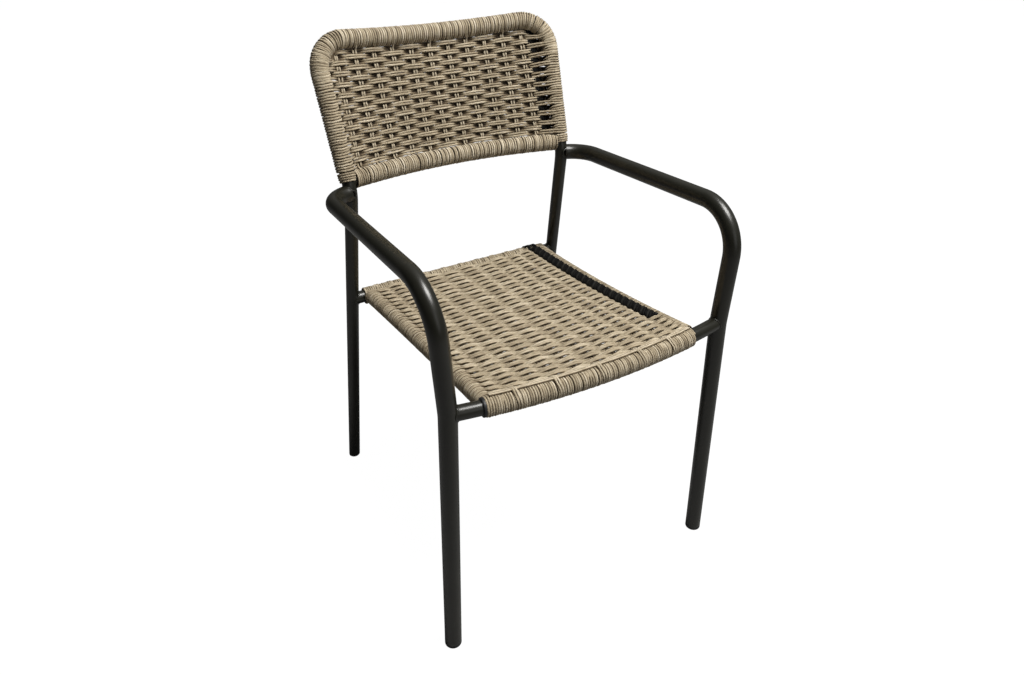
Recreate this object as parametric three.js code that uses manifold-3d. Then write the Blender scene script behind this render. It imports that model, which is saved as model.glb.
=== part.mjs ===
// A stacking armchair for a terrace: a bent tube frame with rope wound round its rails
// and a woven rope seat and back. Millimetres, +Z up, the front faces -Y, and +X is on the
// right of someone who looks at the chair from the front.
import * as THREE from 'three';
import { mergeVertices } from 'three/addons/utils/BufferGeometryUtils.js';
import Module from 'manifold-3d';

const wasm = await Module();
wasm.setup();

// Tubes
const armTubeDiameter = 27;
const hoopTubeDiameter = 22;
const crossTubeDiameter = 22;
const sideTubeDiameter = 20;
const tubeWall = 1.5;
const clearance = 0.3;

// Feet: y is counted from the middle between the front and the rear feet
const footHalfDepth = 258;
const frontFootHalfWidth = 252.5;
const rearFootHalfWidth = 226;

// Front leg and armrest: the leg bends a little at the seat, then turns into the arm
const seatFrontHeight = 448;
const kneeHalfWidth = 238;
const kneeSetback = 9;
const kneeBendRadius = 120;
const armFrontHeight = 631.5;
const armFrontHalfWidth = 248.5;
const armFrontSetback = 12;
const armFrontBendRadius = 71;
const armRearHeight = 611.5;
const armRearHalfWidth = 243.5;
const armRearY = 143;
const armRearBendRadius = 46;
const armEndStandoff = 6;

// Rear hoop: leg, upright, top rail
const postBendHeight = 612;
const postBendHalfWidth = 202.5;
const postBendY = 156.5;
const postBendRadius = 60;
const topRailHeight = 832;
const topRailHalfWidth = 211.5;
const topRailY = 236;
const topCornerRadius = 52;
const topRailBow = 28;
const topRailDip = 2.5;

// The back's lower rail
const lowerRailAboveArc = 3.15;
const lowerRailBow = 25;
const lowerRailRise = 9.5;

// Seat rails
const seatFrontBow = 24;
const seatRearHeight = 402;
const sideRailHalfWidth = 179;
const sideRailFrontDrop = 4;
const sideRailRearRise = 3;
const sideRailSag = 4.5;
const sideRailWaist = 5;

// Rope: one broad band stands for each group of neighbouring turns
const strandDiameter = 3.8;
const bandThickness = 2.6;
const rearBandThickness = bandThickness + strandDiameter;
const bandPitch = 23;
const bandGap = 0.9;
const bandEase = 0.25;
const bandBendEase = 0.7;
const bandTipShare = 0.2;
const bandCrownShare = 0.62;
const windingEndGap = 1.2;
const seatWrapHalfWidth = 187;
const backWrapAboveArc = 1.15;

// Woven panels
const seatPanelThickness = 8;
const seatPanelRise = 9;
const backPanelThickness = 8;

// Black lacing, the doubled strand along the front, the collar
const lacingInset = 9;
const lacingFrontY = -186;
const bindingThickness = 3.6;
const bindingWidth = 2 * strandDiameter;
const bindingInset = 12;
const bindingTiltDegrees = 15;
const collarWidth = 5;
const collarDiameter = 28;

// Foot glides
const glideHeight = 7;
const glideEdge = 2.5;
const glideStemLength = 16;
const glideStemEasing = 1;
const overrun = 12;

// Facets
const tubeSides = 12;
const armTubeSides = 14;
const envelopeSides = 16;
const lathePoints = 12;
const stepsPerLoop = 9;
const bendSteps = 7;
const smallBendSteps = 4;
const railSteps = 8;
const gapSamples = 4;

const armTubeRadius = armTubeDiameter / 2;
const hoopTubeRadius = hoopTubeDiameter / 2;
const crossTubeRadius = crossTubeDiameter / 2;
const sideTubeRadius = sideTubeDiameter / 2;

const up = new THREE.Vector3(0, 0, 1);
const across = new THREE.Vector3(1, 0, 0);

const vec = (x, y, z) => new THREE.Vector3(x, y, z);
const mirrored = (p, side) => vec(side * p.x, p.y, p.z);
const sides = { left: -1, right: 1 };

// Materials
const frameMaterial = new THREE.MeshStandardMaterial({ color: 0x24241d, roughness: 0.42, metalness: 0.55 });
const ropeMaterial = new THREE.MeshStandardMaterial({ color: 0xa99877, roughness: 0.9, metalness: 0 });
const weaveMaterial = new THREE.MeshStandardMaterial({ color: 0x9d8c6b, roughness: 0.92, metalness: 0 });
const lacingMaterial = new THREE.MeshStandardMaterial({ color: 0x191917, roughness: 0.85, metalness: 0 });
const plasticMaterial = new THREE.MeshStandardMaterial({ color: 0x16161a, roughness: 0.6, metalness: 0 });

function squareTo(direction, tangent) {
  const along = direction.dot(tangent);
  return direction.clone().addScaledVector(tangent, -along).normalize();
}

// A path given by its stations, with one ring of a tube at each. The section's first axis
// lies as close to the reference direction as the path allows.
class StationPath extends THREE.Curve {
  constructor(points, reference) {
    super();
    this.points = points;
    this.reference = reference;
  }

  get steps() {
    return this.points.length - 1;
  }

  getPoint(u, target = new THREE.Vector3()) {
    return target.copy(this.points[Math.round(u * this.steps)]);
  }

  getPointAt(u, target) {
    return this.getPoint(u, target);
  }

  tangentAtStation(i) {
    const after = this.points[Math.min(i + 1, this.steps)];
    const before = this.points[Math.max(i - 1, 0)];
    return after.clone().sub(before).normalize();
  }

  normalAtStation(i, tangent) {
    return squareTo(this.reference, tangent);
  }

  spreadAtStation() {
    return 1;
  }

  computeFrenetFrames() {
    const tangents = this.points.map((point, i) => this.tangentAtStation(i));
    const normals = tangents.map((tangent, i) => this.normalAtStation(i, tangent));
    const binormals = tangents.map((tangent, i) => tangent.clone().cross(normals[i])
      .multiplyScalar(this.spreadAtStation(i)));
    return { tangents, normals, binormals };
  }
}

// A smooth curve given by a formula of its share of the way
class FormulaCurve extends THREE.Curve {
  constructor(formula) {
    super();
    this.formula = formula;
  }

  getPoint(share, target = new THREE.Vector3()) {
    return target.copy(this.formula(share));
  }
}

const line = (from, to) => new THREE.LineCurve3(from, to);

// The first share is 0 and the last is 1
function stationsOf(curves, counts) {
  const points = [curves[0].getPoint(0)];
  curves.forEach((curve, index) => {
    for (let i = 1; i <= counts[index]; i++) points.push(curve.getPoint(i / counts[index]));
  });
  return points;
}

// An arc of the given radius between two straight runs that meet at a corner
function bend(from, corner, to, radius) {
  const inward = from.clone().sub(corner).normalize();
  const outward = to.clone().sub(corner).normalize();
  const halfAngle = inward.angleTo(outward) / 2;
  const reach = radius / Math.tan(halfAngle);
  const middle = inward.clone().add(outward).normalize();
  const centre = corner.clone().addScaledVector(middle, radius / Math.sin(halfAngle));
  const first = corner.clone().addScaledVector(inward, reach).sub(centre);
  const last = corner.clone().addScaledVector(outward, reach).sub(centre);
  const turn = first.angleTo(last);
  return new FormulaCurve((share) => {
    const firstPart = Math.sin((1 - share) * turn) / Math.sin(turn);
    const lastPart = Math.sin(share * turn) / Math.sin(turn);
    return centre.clone().addScaledVector(first, firstPart).addScaledVector(last, lastPart);
  });
}

function ringPoints(radius, count) {
  const points = [];
  for (let i = 0; i < count; i++) {
    const angle = (i * 2 * Math.PI) / count;
    points.push(new THREE.Vector2(radius * Math.cos(angle), radius * Math.sin(angle)));
  }
  return points;
}

// A bar or, with a wall, an open tube along stations
function tubeGeometry(points, reference, radius, wall, count) {
  const section = new THREE.Shape(ringPoints(radius, count));
  if (wall > 0) section.holes.push(new THREE.Path(ringPoints(radius - wall, count)));
  const path = new StationPath(points, reference);
  return new THREE.ExtrudeGeometry(section, { extrudePath: path, steps: path.steps });
}

// A flat strip of the given thickness and width along stations, with a rectangular section
function slabGeometry(points, reference, thickness, width) {
  const section = new THREE.Shape([
    new THREE.Vector2(-thickness / 2, -width / 2),
    new THREE.Vector2(thickness / 2, -width / 2),
    new THREE.Vector2(thickness / 2, width / 2),
    new THREE.Vector2(-thickness / 2, width / 2),
  ]);
  const path = new StationPath(points, reference);
  return new THREE.ExtrudeGeometry(section, { extrudePath: path, steps: path.steps });
}

// Closed solids for cutting and joining
function solidOf(geometry) {
  const bare = geometry.clone();
  bare.deleteAttribute('normal');
  bare.deleteAttribute('uv');
  const merged = mergeVertices(bare);
  const corners = merged.index.array;
  const kept = [];
  for (let i = 0; i < corners.length; i += 3) {
    const [a, b, c] = corners.slice(i, i + 3);
    if (a !== b && b !== c && c !== a) kept.push(a, b, c);
  }
  const vertProperties = new Float32Array(merged.attributes.position.array);
  return new wasm.Manifold(new wasm.Mesh({ numProp: 3, vertProperties, triVerts: new Uint32Array(kept) }));
}

function geometryOf(solid) {
  const mesh = solid.getMesh();
  const geometry = new THREE.BufferGeometry();
  geometry.setAttribute('position', new THREE.BufferAttribute(new Float32Array(mesh.vertProperties), 3));
  geometry.setIndex(new THREE.BufferAttribute(new Uint32Array(mesh.triVerts), 1));
  geometry.computeVertexNormals();
  return geometry;
}

// The space that a round piece takes, with a clearance all round
function envelopeOf(points, reference, radius) {
  const cornerRadius = (radius + clearance) / Math.cos(Math.PI / envelopeSides);
  return solidOf(tubeGeometry(points, reference, cornerRadius, 0, envelopeSides));
}

const less = (solid, cutters) => cutters.reduce((rest, cutter) => rest.subtract(cutter), solid);
const cut = (geometry, cutters) => geometryOf(less(solidOf(geometry), cutters));

const chair = new THREE.Group();

function add(name, geometry, material) {
  const mesh = new THREE.Mesh(geometry, material);
  mesh.name = name;
  chair.add(mesh);
}

// Corners of the centre lines, on the right-hand side
const rearFoot = vec(rearFootHalfWidth, footHalfDepth, 0);
const postBend = vec(postBendHalfWidth, postBendY, postBendHeight);
const topCorner = vec(topRailHalfWidth, topRailY, topRailHeight);
const uprightRun = topCorner.clone().sub(postBend);
const uprightAxis = vec(0, uprightRun.y, uprightRun.z).normalize();
const backNormal = uprightAxis.clone().cross(across);

const frontFoot = vec(frontFootHalfWidth, -footHalfDepth, 0);
const knee = vec(kneeHalfWidth, kneeSetback - footHalfDepth, seatFrontHeight);
const armFront = vec(armFrontHalfWidth, armFrontSetback - footHalfDepth, armFrontHeight);
const armRear = vec(armRearHalfWidth, armRearY, armRearHeight);
const armEnd = postBend.clone().add(armRear.clone().sub(postBend).setLength(armEndStandoff));

// Where a leg's tube starts on its axis, so that the glide fits under it
function legStart(foot, next) {
  const axis = next.clone().sub(foot).normalize();
  return foot.clone().addScaledVector(axis, glideHeight / axis.z);
}

// Front leg, armrest and the turn in to the back
const armStart = legStart(frontFoot, knee);
const kneeArc = bend(armStart, knee, armFront, kneeBendRadius);
const armFrontArc = bend(knee, armFront, armRear, armFrontBendRadius);
const armRearArc = bend(armFront, armRear, armEnd, armRearBendRadius);
const armPoints = stationsOf(
  [
    line(armStart, kneeArc.getPoint(0)), kneeArc,
    line(kneeArc.getPoint(1), armFrontArc.getPoint(0)), armFrontArc,
    line(armFrontArc.getPoint(1), armRearArc.getPoint(0)), armRearArc,
    line(armRearArc.getPoint(1), armEnd),
  ],
  [1, 2, 1, bendSteps, 1, smallBendSteps, 1],
);

// A back rail's point: it bows away from the straight line between the uprights
function backRailPoint(end, bow, rise, x) {
  const belly = 1 - (x / end.x) ** 2;
  const straight = vec(x, end.y, end.z);
  return straight.addScaledVector(backNormal, bow * belly).addScaledVector(uprightAxis, rise * belly);
}

// Hoop: its right half from the foot to the middle of the top rail, then the mirror image
const topRailPoint = (x) => backRailPoint(topCorner, topRailBow, -topRailDip, x);
const hoopStart = legStart(rearFoot, postBend);
const postArc = bend(hoopStart, postBend, topCorner, postBendRadius);
const uprightEnd = topCorner.clone().sub(uprightRun.clone().setLength(topCornerRadius));
const topRunHalfWidth = topRailHalfWidth - topCornerRadius;
const topRunStart = topRailPoint(topRunHalfWidth);
const arcHandleShare = 0.5523;
const cornerArc = (side) => new THREE.CubicBezierCurve3(
  mirrored(uprightEnd, side),
  mirrored(uprightEnd.clone().lerp(topCorner, arcHandleShare), side),
  mirrored(topRunStart.clone().lerp(topCorner, arcHandleShare), side),
  mirrored(topRunStart, side),
);
const hoopHalf = stationsOf(
  [
    line(hoopStart, postArc.getPoint(0)), postArc,
    line(postArc.getPoint(1), uprightEnd), cornerArc(1),
    new FormulaCurve((share) => topRailPoint((1 - share) * topRunHalfWidth)),
  ],
  [1, smallBendSteps, 1, bendSteps, smallBendSteps],
);
const hoopPoints = hoopHalf.concat(hoopHalf.slice(0, -1).reverse().map((p) => mirrored(p, -1)));

// Lower rail of the back
const postArcReach = postArc.getPoint(1).distanceTo(postBend);
const onUpright = (aboveArc) => postBend.clone()
  .add(uprightRun.clone().setLength(postArcReach + aboveArc));
const lowerRailEnd = onUpright(lowerRailAboveArc);
const lowerRailPoint = (x) => backRailPoint(lowerRailEnd, lowerRailBow, lowerRailRise, x);
const lowerRail = new FormulaCurve((share) => lowerRailPoint((1 - 2 * share) * lowerRailEnd.x));

// Rails of the seat
const seatFrontPoint = (x) => vec(x, knee.y - seatFrontBow * (1 - (x / knee.x) ** 2), seatFrontHeight);
const seatFront = (halfWidth) => new FormulaCurve((share) => seatFrontPoint((1 - 2 * share) * halfWidth));
const seatRearEnd = rearFoot.clone().lerp(postBend, seatRearHeight / postBendHeight);
const seatRearPoint = (x) => vec(x, seatRearEnd.y, seatRearHeight);
const seatRear = (halfWidth) => line(seatRearPoint(halfWidth), seatRearPoint(-halfWidth));
const sideFrontEnd = seatFrontPoint(sideRailHalfWidth).addScaledVector(up, -sideRailFrontDrop);
const sideRearEnd = vec(sideRailHalfWidth, seatRearEnd.y, seatRearHeight + sideRailRearRise);
const sideRail = (side) => new FormulaCurve((share) => {
  const belly = 4 * share * (1 - share);
  const point = sideFrontEnd.clone().lerp(sideRearEnd, share);
  return vec(side * (point.x - sideRailWaist * belly), point.y, point.z - sideRailSag * belly);
});

// Tubes of the frame, each coped against the tubes that carry it
const frontRailPoints = stationsOf([seatFront(knee.x)], [railSteps]);
const rearRailPoints = stationsOf([seatRear(seatRearEnd.x)], [1]);
const lowerRailPoints = stationsOf([lowerRail], [railSteps]);
const armPointsOf = (side) => armPoints.map((p) => mirrored(p, side));
const sidePointsOf = (side) => stationsOf([sideRail(side)], [smallBendSteps]);

const hoopEnvelope = envelopeOf(hoopPoints, backNormal, hoopTubeRadius);
const armEnvelopes = Object.values(sides)
  .map((side) => envelopeOf(armPointsOf(side), across, armTubeRadius));
const crossEnvelopes = [
  envelopeOf(frontRailPoints, up, crossTubeRadius),
  envelopeOf(rearRailPoints, up, crossTubeRadius),
];
const sideEnvelopes = Object.values(sides)
  .map((side) => envelopeOf(sidePointsOf(side), up, sideTubeRadius));
const lowerRailEnvelope = envelopeOf(lowerRailPoints, backNormal, crossTubeRadius);

function addTube(name, points, reference, radius, count, cutters) {
  add(name, cut(tubeGeometry(points, reference, radius, tubeWall, count), cutters), frameMaterial);
}

addTube('back_hoop_tube', hoopPoints, backNormal, hoopTubeRadius, tubeSides, []);
addTube('seat_front_rail', frontRailPoints, up, crossTubeRadius, tubeSides, armEnvelopes);
addTube('seat_rear_rail', rearRailPoints, up, crossTubeRadius, tubeSides, [hoopEnvelope]);
addTube('back_lower_rail', lowerRailPoints, backNormal, crossTubeRadius, tubeSides, [hoopEnvelope]);
for (const [name, side] of Object.entries(sides)) {
  addTube(`arm_and_front_leg_${name}`, armPointsOf(side), across, armTubeRadius, armTubeSides,
    [hoopEnvelope]);
  addTube(`seat_side_rail_${name}`, sidePointsOf(side), up, sideTubeRadius, tubeSides, crossEnvelopes);
}

// Foot glides: a plug in the tube and a shoe with a bevelled edge, cut level where it stands
function glideGeometry(radius, foot, next) {
  const axis = next.clone().sub(foot).normalize();
  const stemRadius = radius - tubeWall - clearance;
  const shoeTop = glideHeight / axis.z - clearance;
  const stemTop = shoeTop + glideStemLength;
  const profile = [
    new THREE.Vector2(0, -overrun),
    new THREE.Vector2(radius - glideEdge, -overrun),
    new THREE.Vector2(radius - glideEdge, 0),
    new THREE.Vector2(radius, glideEdge),
    new THREE.Vector2(radius, shoeTop),
    new THREE.Vector2(stemRadius, shoeTop),
    new THREE.Vector2(stemRadius, stemTop - glideStemEasing),
    new THREE.Vector2(stemRadius - glideStemEasing, stemTop),
    new THREE.Vector2(0, stemTop),
  ];
  const lathe = new THREE.LatheGeometry(profile, lathePoints);
  lathe.rotateX(Math.PI / 2);
  lathe.applyQuaternion(new THREE.Quaternion().setFromUnitVectors(up, axis));
  lathe.translate(foot.x, foot.y, foot.z);
  const underFloor = new THREE.BoxGeometry(4 * radius, 4 * radius, 4 * overrun);
  underFloor.translate(foot.x, foot.y, -2 * overrun);
  return cut(lathe, [solidOf(underFloor)]);
}

for (const [name, side] of Object.entries(sides)) {
  const front = glideGeometry(armTubeRadius, mirrored(frontFoot, side), mirrored(knee, side));
  add(`foot_glide_front_${name}`, front, plasticMaterial);
  const rear = glideGeometry(hoopTubeRadius, mirrored(rearFoot, side), mirrored(postBend, side));
  add(`foot_glide_rear_${name}`, rear, plasticMaterial);
}

// A winding: one unbroken band that goes round a rail. It starts and ends as a thin tip that
// widens over its first turn, so that the rail is covered from end to end.
class WindingPath extends StationPath {
  constructor(rail, reference, fromGap, turns, pitch, radius) {
    super([], reference);
    this.outward = [];
    this.fill = [];
    const count = Math.round((turns + 1 - 2 * bandTipShare) * stepsPerLoop);
    for (let i = 0; i <= count; i++) {
      const turn = bandTipShare + i / stepsPerLoop;
      const before = Math.max(turn - 1, 0);
      const after = Math.min(turn, turns);
      const share = (fromGap + (pitch * (before + after)) / 2) / rail.getLength();
      const tangent = rail.getTangentAt(share);
      const normal = squareTo(reference, tangent);
      const side = tangent.clone().cross(normal);
      const angle = -turn * 2 * Math.PI;
      const radial = normal.multiplyScalar(Math.cos(angle)).addScaledVector(side, Math.sin(angle));
      this.outward.push(radial);
      this.fill.push(after - before);
      this.points.push(rail.getPointAt(share).addScaledVector(radial, radius));
    }
    this.pitch = pitch;
  }

  normalAtStation(i, tangent) {
    return squareTo(this.outward[i], tangent);
  }

  // The band narrows at its tips, and where its neighbours come closer inside a bend
  spreadAtStation(i) {
    const rooms = [i - stepsPerLoop, i + stepsPerLoop].filter((j) => this.fill[j] === 1)
      .map((j) => this.points[j].distanceTo(this.points[i]));
    const crowding = this.fill[i] === 1 ? Math.min(...rooms, this.pitch) / this.pitch : 1;
    return Math.max(this.fill[i] * crowding * crowding, bandTipShare / 2);
  }
}

// Least distance from the edges of one turn to those of the turns that come after it
function leastGap(path, section) {
  const { normals, binormals } = path.computeFrenetFrames();
  const rings = path.points.map((point, i) => section.map((corner) => point.clone()
    .addScaledVector(normals[i], corner.x)
    .addScaledVector(binormals[i], corner.y)));
  const samples = [];
  for (let i = 0; i < path.steps; i++) {
    for (let part = 0; part < gapSamples; part++) {
      samples.push(rings[i].map((corner, c) => corner.clone().lerp(rings[i + 1][c], part / gapSamples)));
    }
  }
  const loop = stepsPerLoop * gapSamples;
  let least = Infinity;
  samples.forEach((ring, i) => {
    for (const next of samples.slice(i + loop / 2, i + (3 * loop) / 2)) {
      for (const a of ring) {
        for (const b of next) least = Math.min(least, a.distanceTo(b));
      }
    }
  });
  return least;
}

const windingInner = (tubeRadius) => (tubeRadius + clearance + bandEase) / Math.cos(Math.PI / stepsPerLoop);
const bandLean = (radius, pitch) => Math.atan(pitch / (2 * Math.PI * radius));

// How far out a winding reaches at its crown's corners, which stand off a little as it leans
function windingReach(tubeRadius, thickness) {
  const radius = windingInner(tubeRadius);
  const stray = (bandPitch * bandCrownShare * Math.sin(bandLean(radius, bandPitch))) / 2;
  return Math.hypot(radius + thickness, stray);
}

function addWinding(name, rail, reference, fromGap, toGap, tubeRadius, thickness) {
  const covered = rail.getLength() - fromGap - toGap;
  const turns = Math.max(Math.floor(covered / bandPitch), 1);
  const pitch = covered / turns;
  const radius = windingInner(tubeRadius);
  const width = pitch * Math.cos(bandLean(radius, pitch)) - bandGap;
  const path = new WindingPath(rail, reference, fromGap, turns, pitch, radius);
  const crown = (width * bandCrownShare) / 2;
  const section = [
    new THREE.Vector2(0, -width / 2),
    new THREE.Vector2(thickness, -crown),
    new THREE.Vector2(thickness, crown),
    new THREE.Vector2(0, width / 2),
  ];
  console.log(`${name}: ${turns + 1} loops, least gap to itself ${leastGap(path, section).toFixed(2)} mm`);
  const shape = new THREE.Shape(section);
  const geometry = new THREE.ExtrudeGeometry(shape, { extrudePath: path, steps: path.steps });
  add(name, geometry, ropeMaterial);
}

// A short sleeve of turns over a joint of two rails, open where the other rail comes in
function addCornerWrap(name, points, reference, tubeRadius, thickness, cutters) {
  const inner = (tubeRadius + clearance) / Math.cos(Math.PI / tubeSides);
  const outer = windingInner(tubeRadius) + thickness;
  add(name, cut(tubeGeometry(points, reference, outer, outer - inner, tubeSides), cutters), ropeMaterial);
}

const hoopWrapReach = windingReach(hoopTubeRadius + bandBendEase, bandThickness);
const crossWrapReach = windingReach(crossTubeRadius, bandThickness);
const rearWrapReach = windingReach(crossTubeRadius, rearBandThickness);
const sideWrapReach = windingReach(sideTubeRadius, bandThickness);

// Back: both uprights, the top rail with its corners, the lower rail and its joints
const topWrapCurve = new THREE.CurvePath();
topWrapCurve.add(cornerArc(1));
topWrapCurve.add(new FormulaCurve((share) => topRailPoint((1 - 2 * share) * topRunHalfWidth)));
topWrapCurve.add(new FormulaCurve((share) => cornerArc(-1).getPoint(1 - share)));
addWinding('back_winding_top', topWrapCurve, backNormal, windingEndGap, windingEndGap,
  hoopTubeRadius + bandBendEase, bandThickness);
addWinding('back_winding_lower', lowerRail, backNormal, hoopWrapReach + windingEndGap,
  hoopWrapReach + windingEndGap, crossTubeRadius, bandThickness);
const uprightWrapFoot = onUpright(lowerRailAboveArc + crossTubeRadius + windingEndGap);
const cornerWrapFoot = onUpright(backWrapAboveArc);
const cornerWrapTop = onUpright(lowerRailAboveArc + crossTubeRadius);
for (const [name, side] of Object.entries(sides)) {
  const upright = line(mirrored(uprightWrapFoot, side), mirrored(uprightEnd, side));
  addWinding(`back_winding_${name}`, upright, backNormal, 0, 0, hoopTubeRadius, bandThickness);
  const stretch = [mirrored(cornerWrapFoot, side), mirrored(cornerWrapTop, side)];
  addCornerWrap(`back_corner_wrap_${name}`, stretch, backNormal, hoopTubeRadius, bandThickness,
    [lowerRailEnvelope, ...armEnvelopes]);
}

// Seat: each cross rail between the side rails, the rear joints, and the side rails
const jointHalfWidth = sideTubeRadius + windingEndGap;
const innerHalfWidth = sideRailHalfWidth - jointHalfWidth;
addWinding('seat_winding_front', seatFront(innerHalfWidth), up, 0, 0, crossTubeRadius, bandThickness);
addWinding('seat_winding_rear', seatRear(innerHalfWidth), up, 0, 0, crossTubeRadius, rearBandThickness);
const jointFrom = innerHalfWidth + windingEndGap;
const jointStretch = (pointAt, side) => [jointFrom, seatWrapHalfWidth].map((x) => mirrored(pointAt(x), side));
for (const [name, side] of Object.entries(sides)) {
  addCornerWrap(`seat_corner_wrap_rear_${name}`, jointStretch(seatRearPoint, side), up,
    crossTubeRadius, rearBandThickness, sideEnvelopes);
  addWinding(`seat_winding_${name}`, sideRail(side), up, crossWrapReach + windingEndGap,
    rearWrapReach + windingEndGap, sideTubeRadius, bandThickness);
}

// At the front the turns stop at the right-hand joint, and on the left they pass it up to a collar
addCornerWrap('seat_corner_wrap_front_left', jointStretch(seatFrontPoint, sides.left), up,
  crossTubeRadius, bandThickness, sideEnvelopes);
const collarStart = seatWrapHalfWidth + clearance;
const collarStations = [collarStart, collarStart + collarWidth];
const collarPoints = collarStations.map((x) => mirrored(seatFrontPoint(x), sides.left));
const collarInner = (crossTubeRadius + clearance) / Math.cos(Math.PI / tubeSides);
const collarRadius = collarDiameter / 2;
const collar = tubeGeometry(collarPoints, up, collarRadius, collarRadius - collarInner, tubeSides);
add('front_rail_collar_left', cut(collar, sideEnvelopes), plasticMaterial);

// Woven back: a bowed sheet inside the hoop and the lower rail
function prismOf(outline, origin, depthAxis, sideAxis, depth) {
  const basis = new THREE.Matrix4().makeBasis(sideAxis, depthAxis.clone().cross(sideAxis), depthAxis);
  basis.setPosition(origin.clone().addScaledVector(depthAxis, -depth / 2));
  const inverse = basis.clone().invert();
  const flat = outline.map((p) => p.clone().applyMatrix4(inverse)).map((p) => new THREE.Vector2(p.x, p.y));
  const geometry = new THREE.ExtrudeGeometry(new THREE.Shape(flat), { depth, bevelEnabled: false });
  return solidOf(geometry.applyMatrix4(basis));
}

const backWrapEnvelopes = [
  envelopeOf(hoopPoints, backNormal, hoopWrapReach),
  envelopeOf(lowerRailPoints, backNormal, crossWrapReach),
];
const aboveLowerRail = hoopPoints.filter((p) => p.z > uprightWrapFoot.z);
const backOutline = [...lowerRailPoints.slice().reverse(), ...aboveLowerRail];
const backMiddle = postBend.clone().lerp(topCorner, 0.5).setX(0);
const backReach = topRailBow + backPanelThickness + overrun;
const backPrism = prismOf(backOutline, backMiddle, backNormal, across, 2 * backReach);
const backBow = (topRailBow + lowerRailBow) / 2;
const backSlabPoints = stationsOf(
  [new FormulaCurve((share) => backMiddle.clone().setX((1 - 2 * share) * topRailHalfWidth)
    .addScaledVector(backNormal, backBow * (1 - (1 - 2 * share) ** 2)))],
  [railSteps],
);
const backSlabWidth = uprightRun.length() + overrun;
const backSlab = solidOf(slabGeometry(backSlabPoints, backNormal, backPanelThickness, backSlabWidth));
const backSheet = less(backSlab.intersect(backPrism), backWrapEnvelopes);
add('back_weave', geometryOf(backSheet), weaveMaterial);

// Woven seat: a sheet that hangs a little between the rails, level from side to side
const seatWrapEnvelopes = [
  envelopeOf(frontRailPoints, up, crossWrapReach),
  envelopeOf(rearRailPoints, up, rearWrapReach),
  ...Object.values(sides).map((side) => envelopeOf(sidePointsOf(side), up, sideWrapReach)),
];
const seatSlabCurve = new FormulaCurve((share) => sideRail(1).getPoint(share).setX(0)
  .addScaledVector(up, seatPanelRise));
const seatSlabPoints = stationsOf([seatSlabCurve], [smallBendSteps]);
const slabLead = seatSlabPoints[0].clone().sub(seatSlabPoints[1]).setLength(seatFrontBow);
seatSlabPoints.unshift(seatSlabPoints[0].clone().add(slabLead));
const seatSlab = solidOf(slabGeometry(seatSlabPoints, up, seatPanelThickness, 2 * sideRailHalfWidth));
const seatOutline = [
  ...stationsOf([seatFront(sideRailHalfWidth)], [railSteps]),
  seatRearPoint(-sideRailHalfWidth),
  seatRearPoint(sideRailHalfWidth),
];
const seatPrism = prismOf(seatOutline, vec(0, 0, seatFrontHeight), up, across, seatFrontHeight);
const seatSheet = less(seatSlab.intersect(seatPrism), seatWrapEnvelopes);

// Black lacing: it takes the place of the weave along the right-hand rail
function lacingPrism(inset, frontY) {
  const inner = sideRailHalfWidth - sideWrapReach - inset;
  const outline = [
    vec(inner, frontY, 0),
    vec(sideRailHalfWidth, frontY, 0),
    vec(sideRailHalfWidth, footHalfDepth, 0),
    vec(inner, footHalfDepth, 0),
  ];
  return prismOf(outline, vec(0, 0, seatFrontHeight), up, across, seatFrontHeight);
}

const weaveCutter = lacingPrism(lacingInset + clearance, lacingFrontY - clearance);
const lacingSheet = seatSheet.intersect(lacingPrism(lacingInset, lacingFrontY));
add('seat_weave', geometryOf(seatSheet.subtract(weaveCutter)), weaveMaterial);
add('seat_lacing_black', geometryOf(lacingSheet), lacingMaterial);

// Doubled strand along the front edge, on top of the front winding
const bindingTilt = THREE.MathUtils.degToRad(bindingTiltDegrees);
const bindingOut = vec(0, Math.sin(bindingTilt), Math.cos(bindingTilt));
const bindingOffset = crossWrapReach + clearance + bindingThickness / 2;
const bindingLeftX = bindingInset - seatWrapHalfWidth;
const bindingRightX = innerHalfWidth - windingEndGap;
const bindingCurve = new FormulaCurve(
  (share) => seatFrontPoint(THREE.MathUtils.lerp(bindingRightX, bindingLeftX, share)),
);
const bindingPoints = stationsOf([bindingCurve], [railSteps])
  .map((p) => p.addScaledVector(bindingOut, bindingOffset));
const bindingSlab = slabGeometry(bindingPoints, bindingOut, bindingThickness, bindingWidth);
add('front_edge_binding', bindingSlab, ropeMaterial);

// The chair stands centred on its own origin
const bounds = new THREE.Box3().setFromObject(chair);
const centre = bounds.getCenter(new THREE.Vector3());
chair.position.set(-centre.x, -centre.y, -bounds.min.z);

export default chair;
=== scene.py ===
"""Looks for the rattan bistro chair: a powder-coated tube frame with a seat and a back of woven rope.

Lengths are millimetres in the source's own frame. Builder turns them in to metres and moves them to the
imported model's frame. The curves repeat those of the CAD source.
"""

import math

import bpy
import numpy as np
from mathutils import Matrix, Vector
from mathutils.kdtree import KDTree


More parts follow.
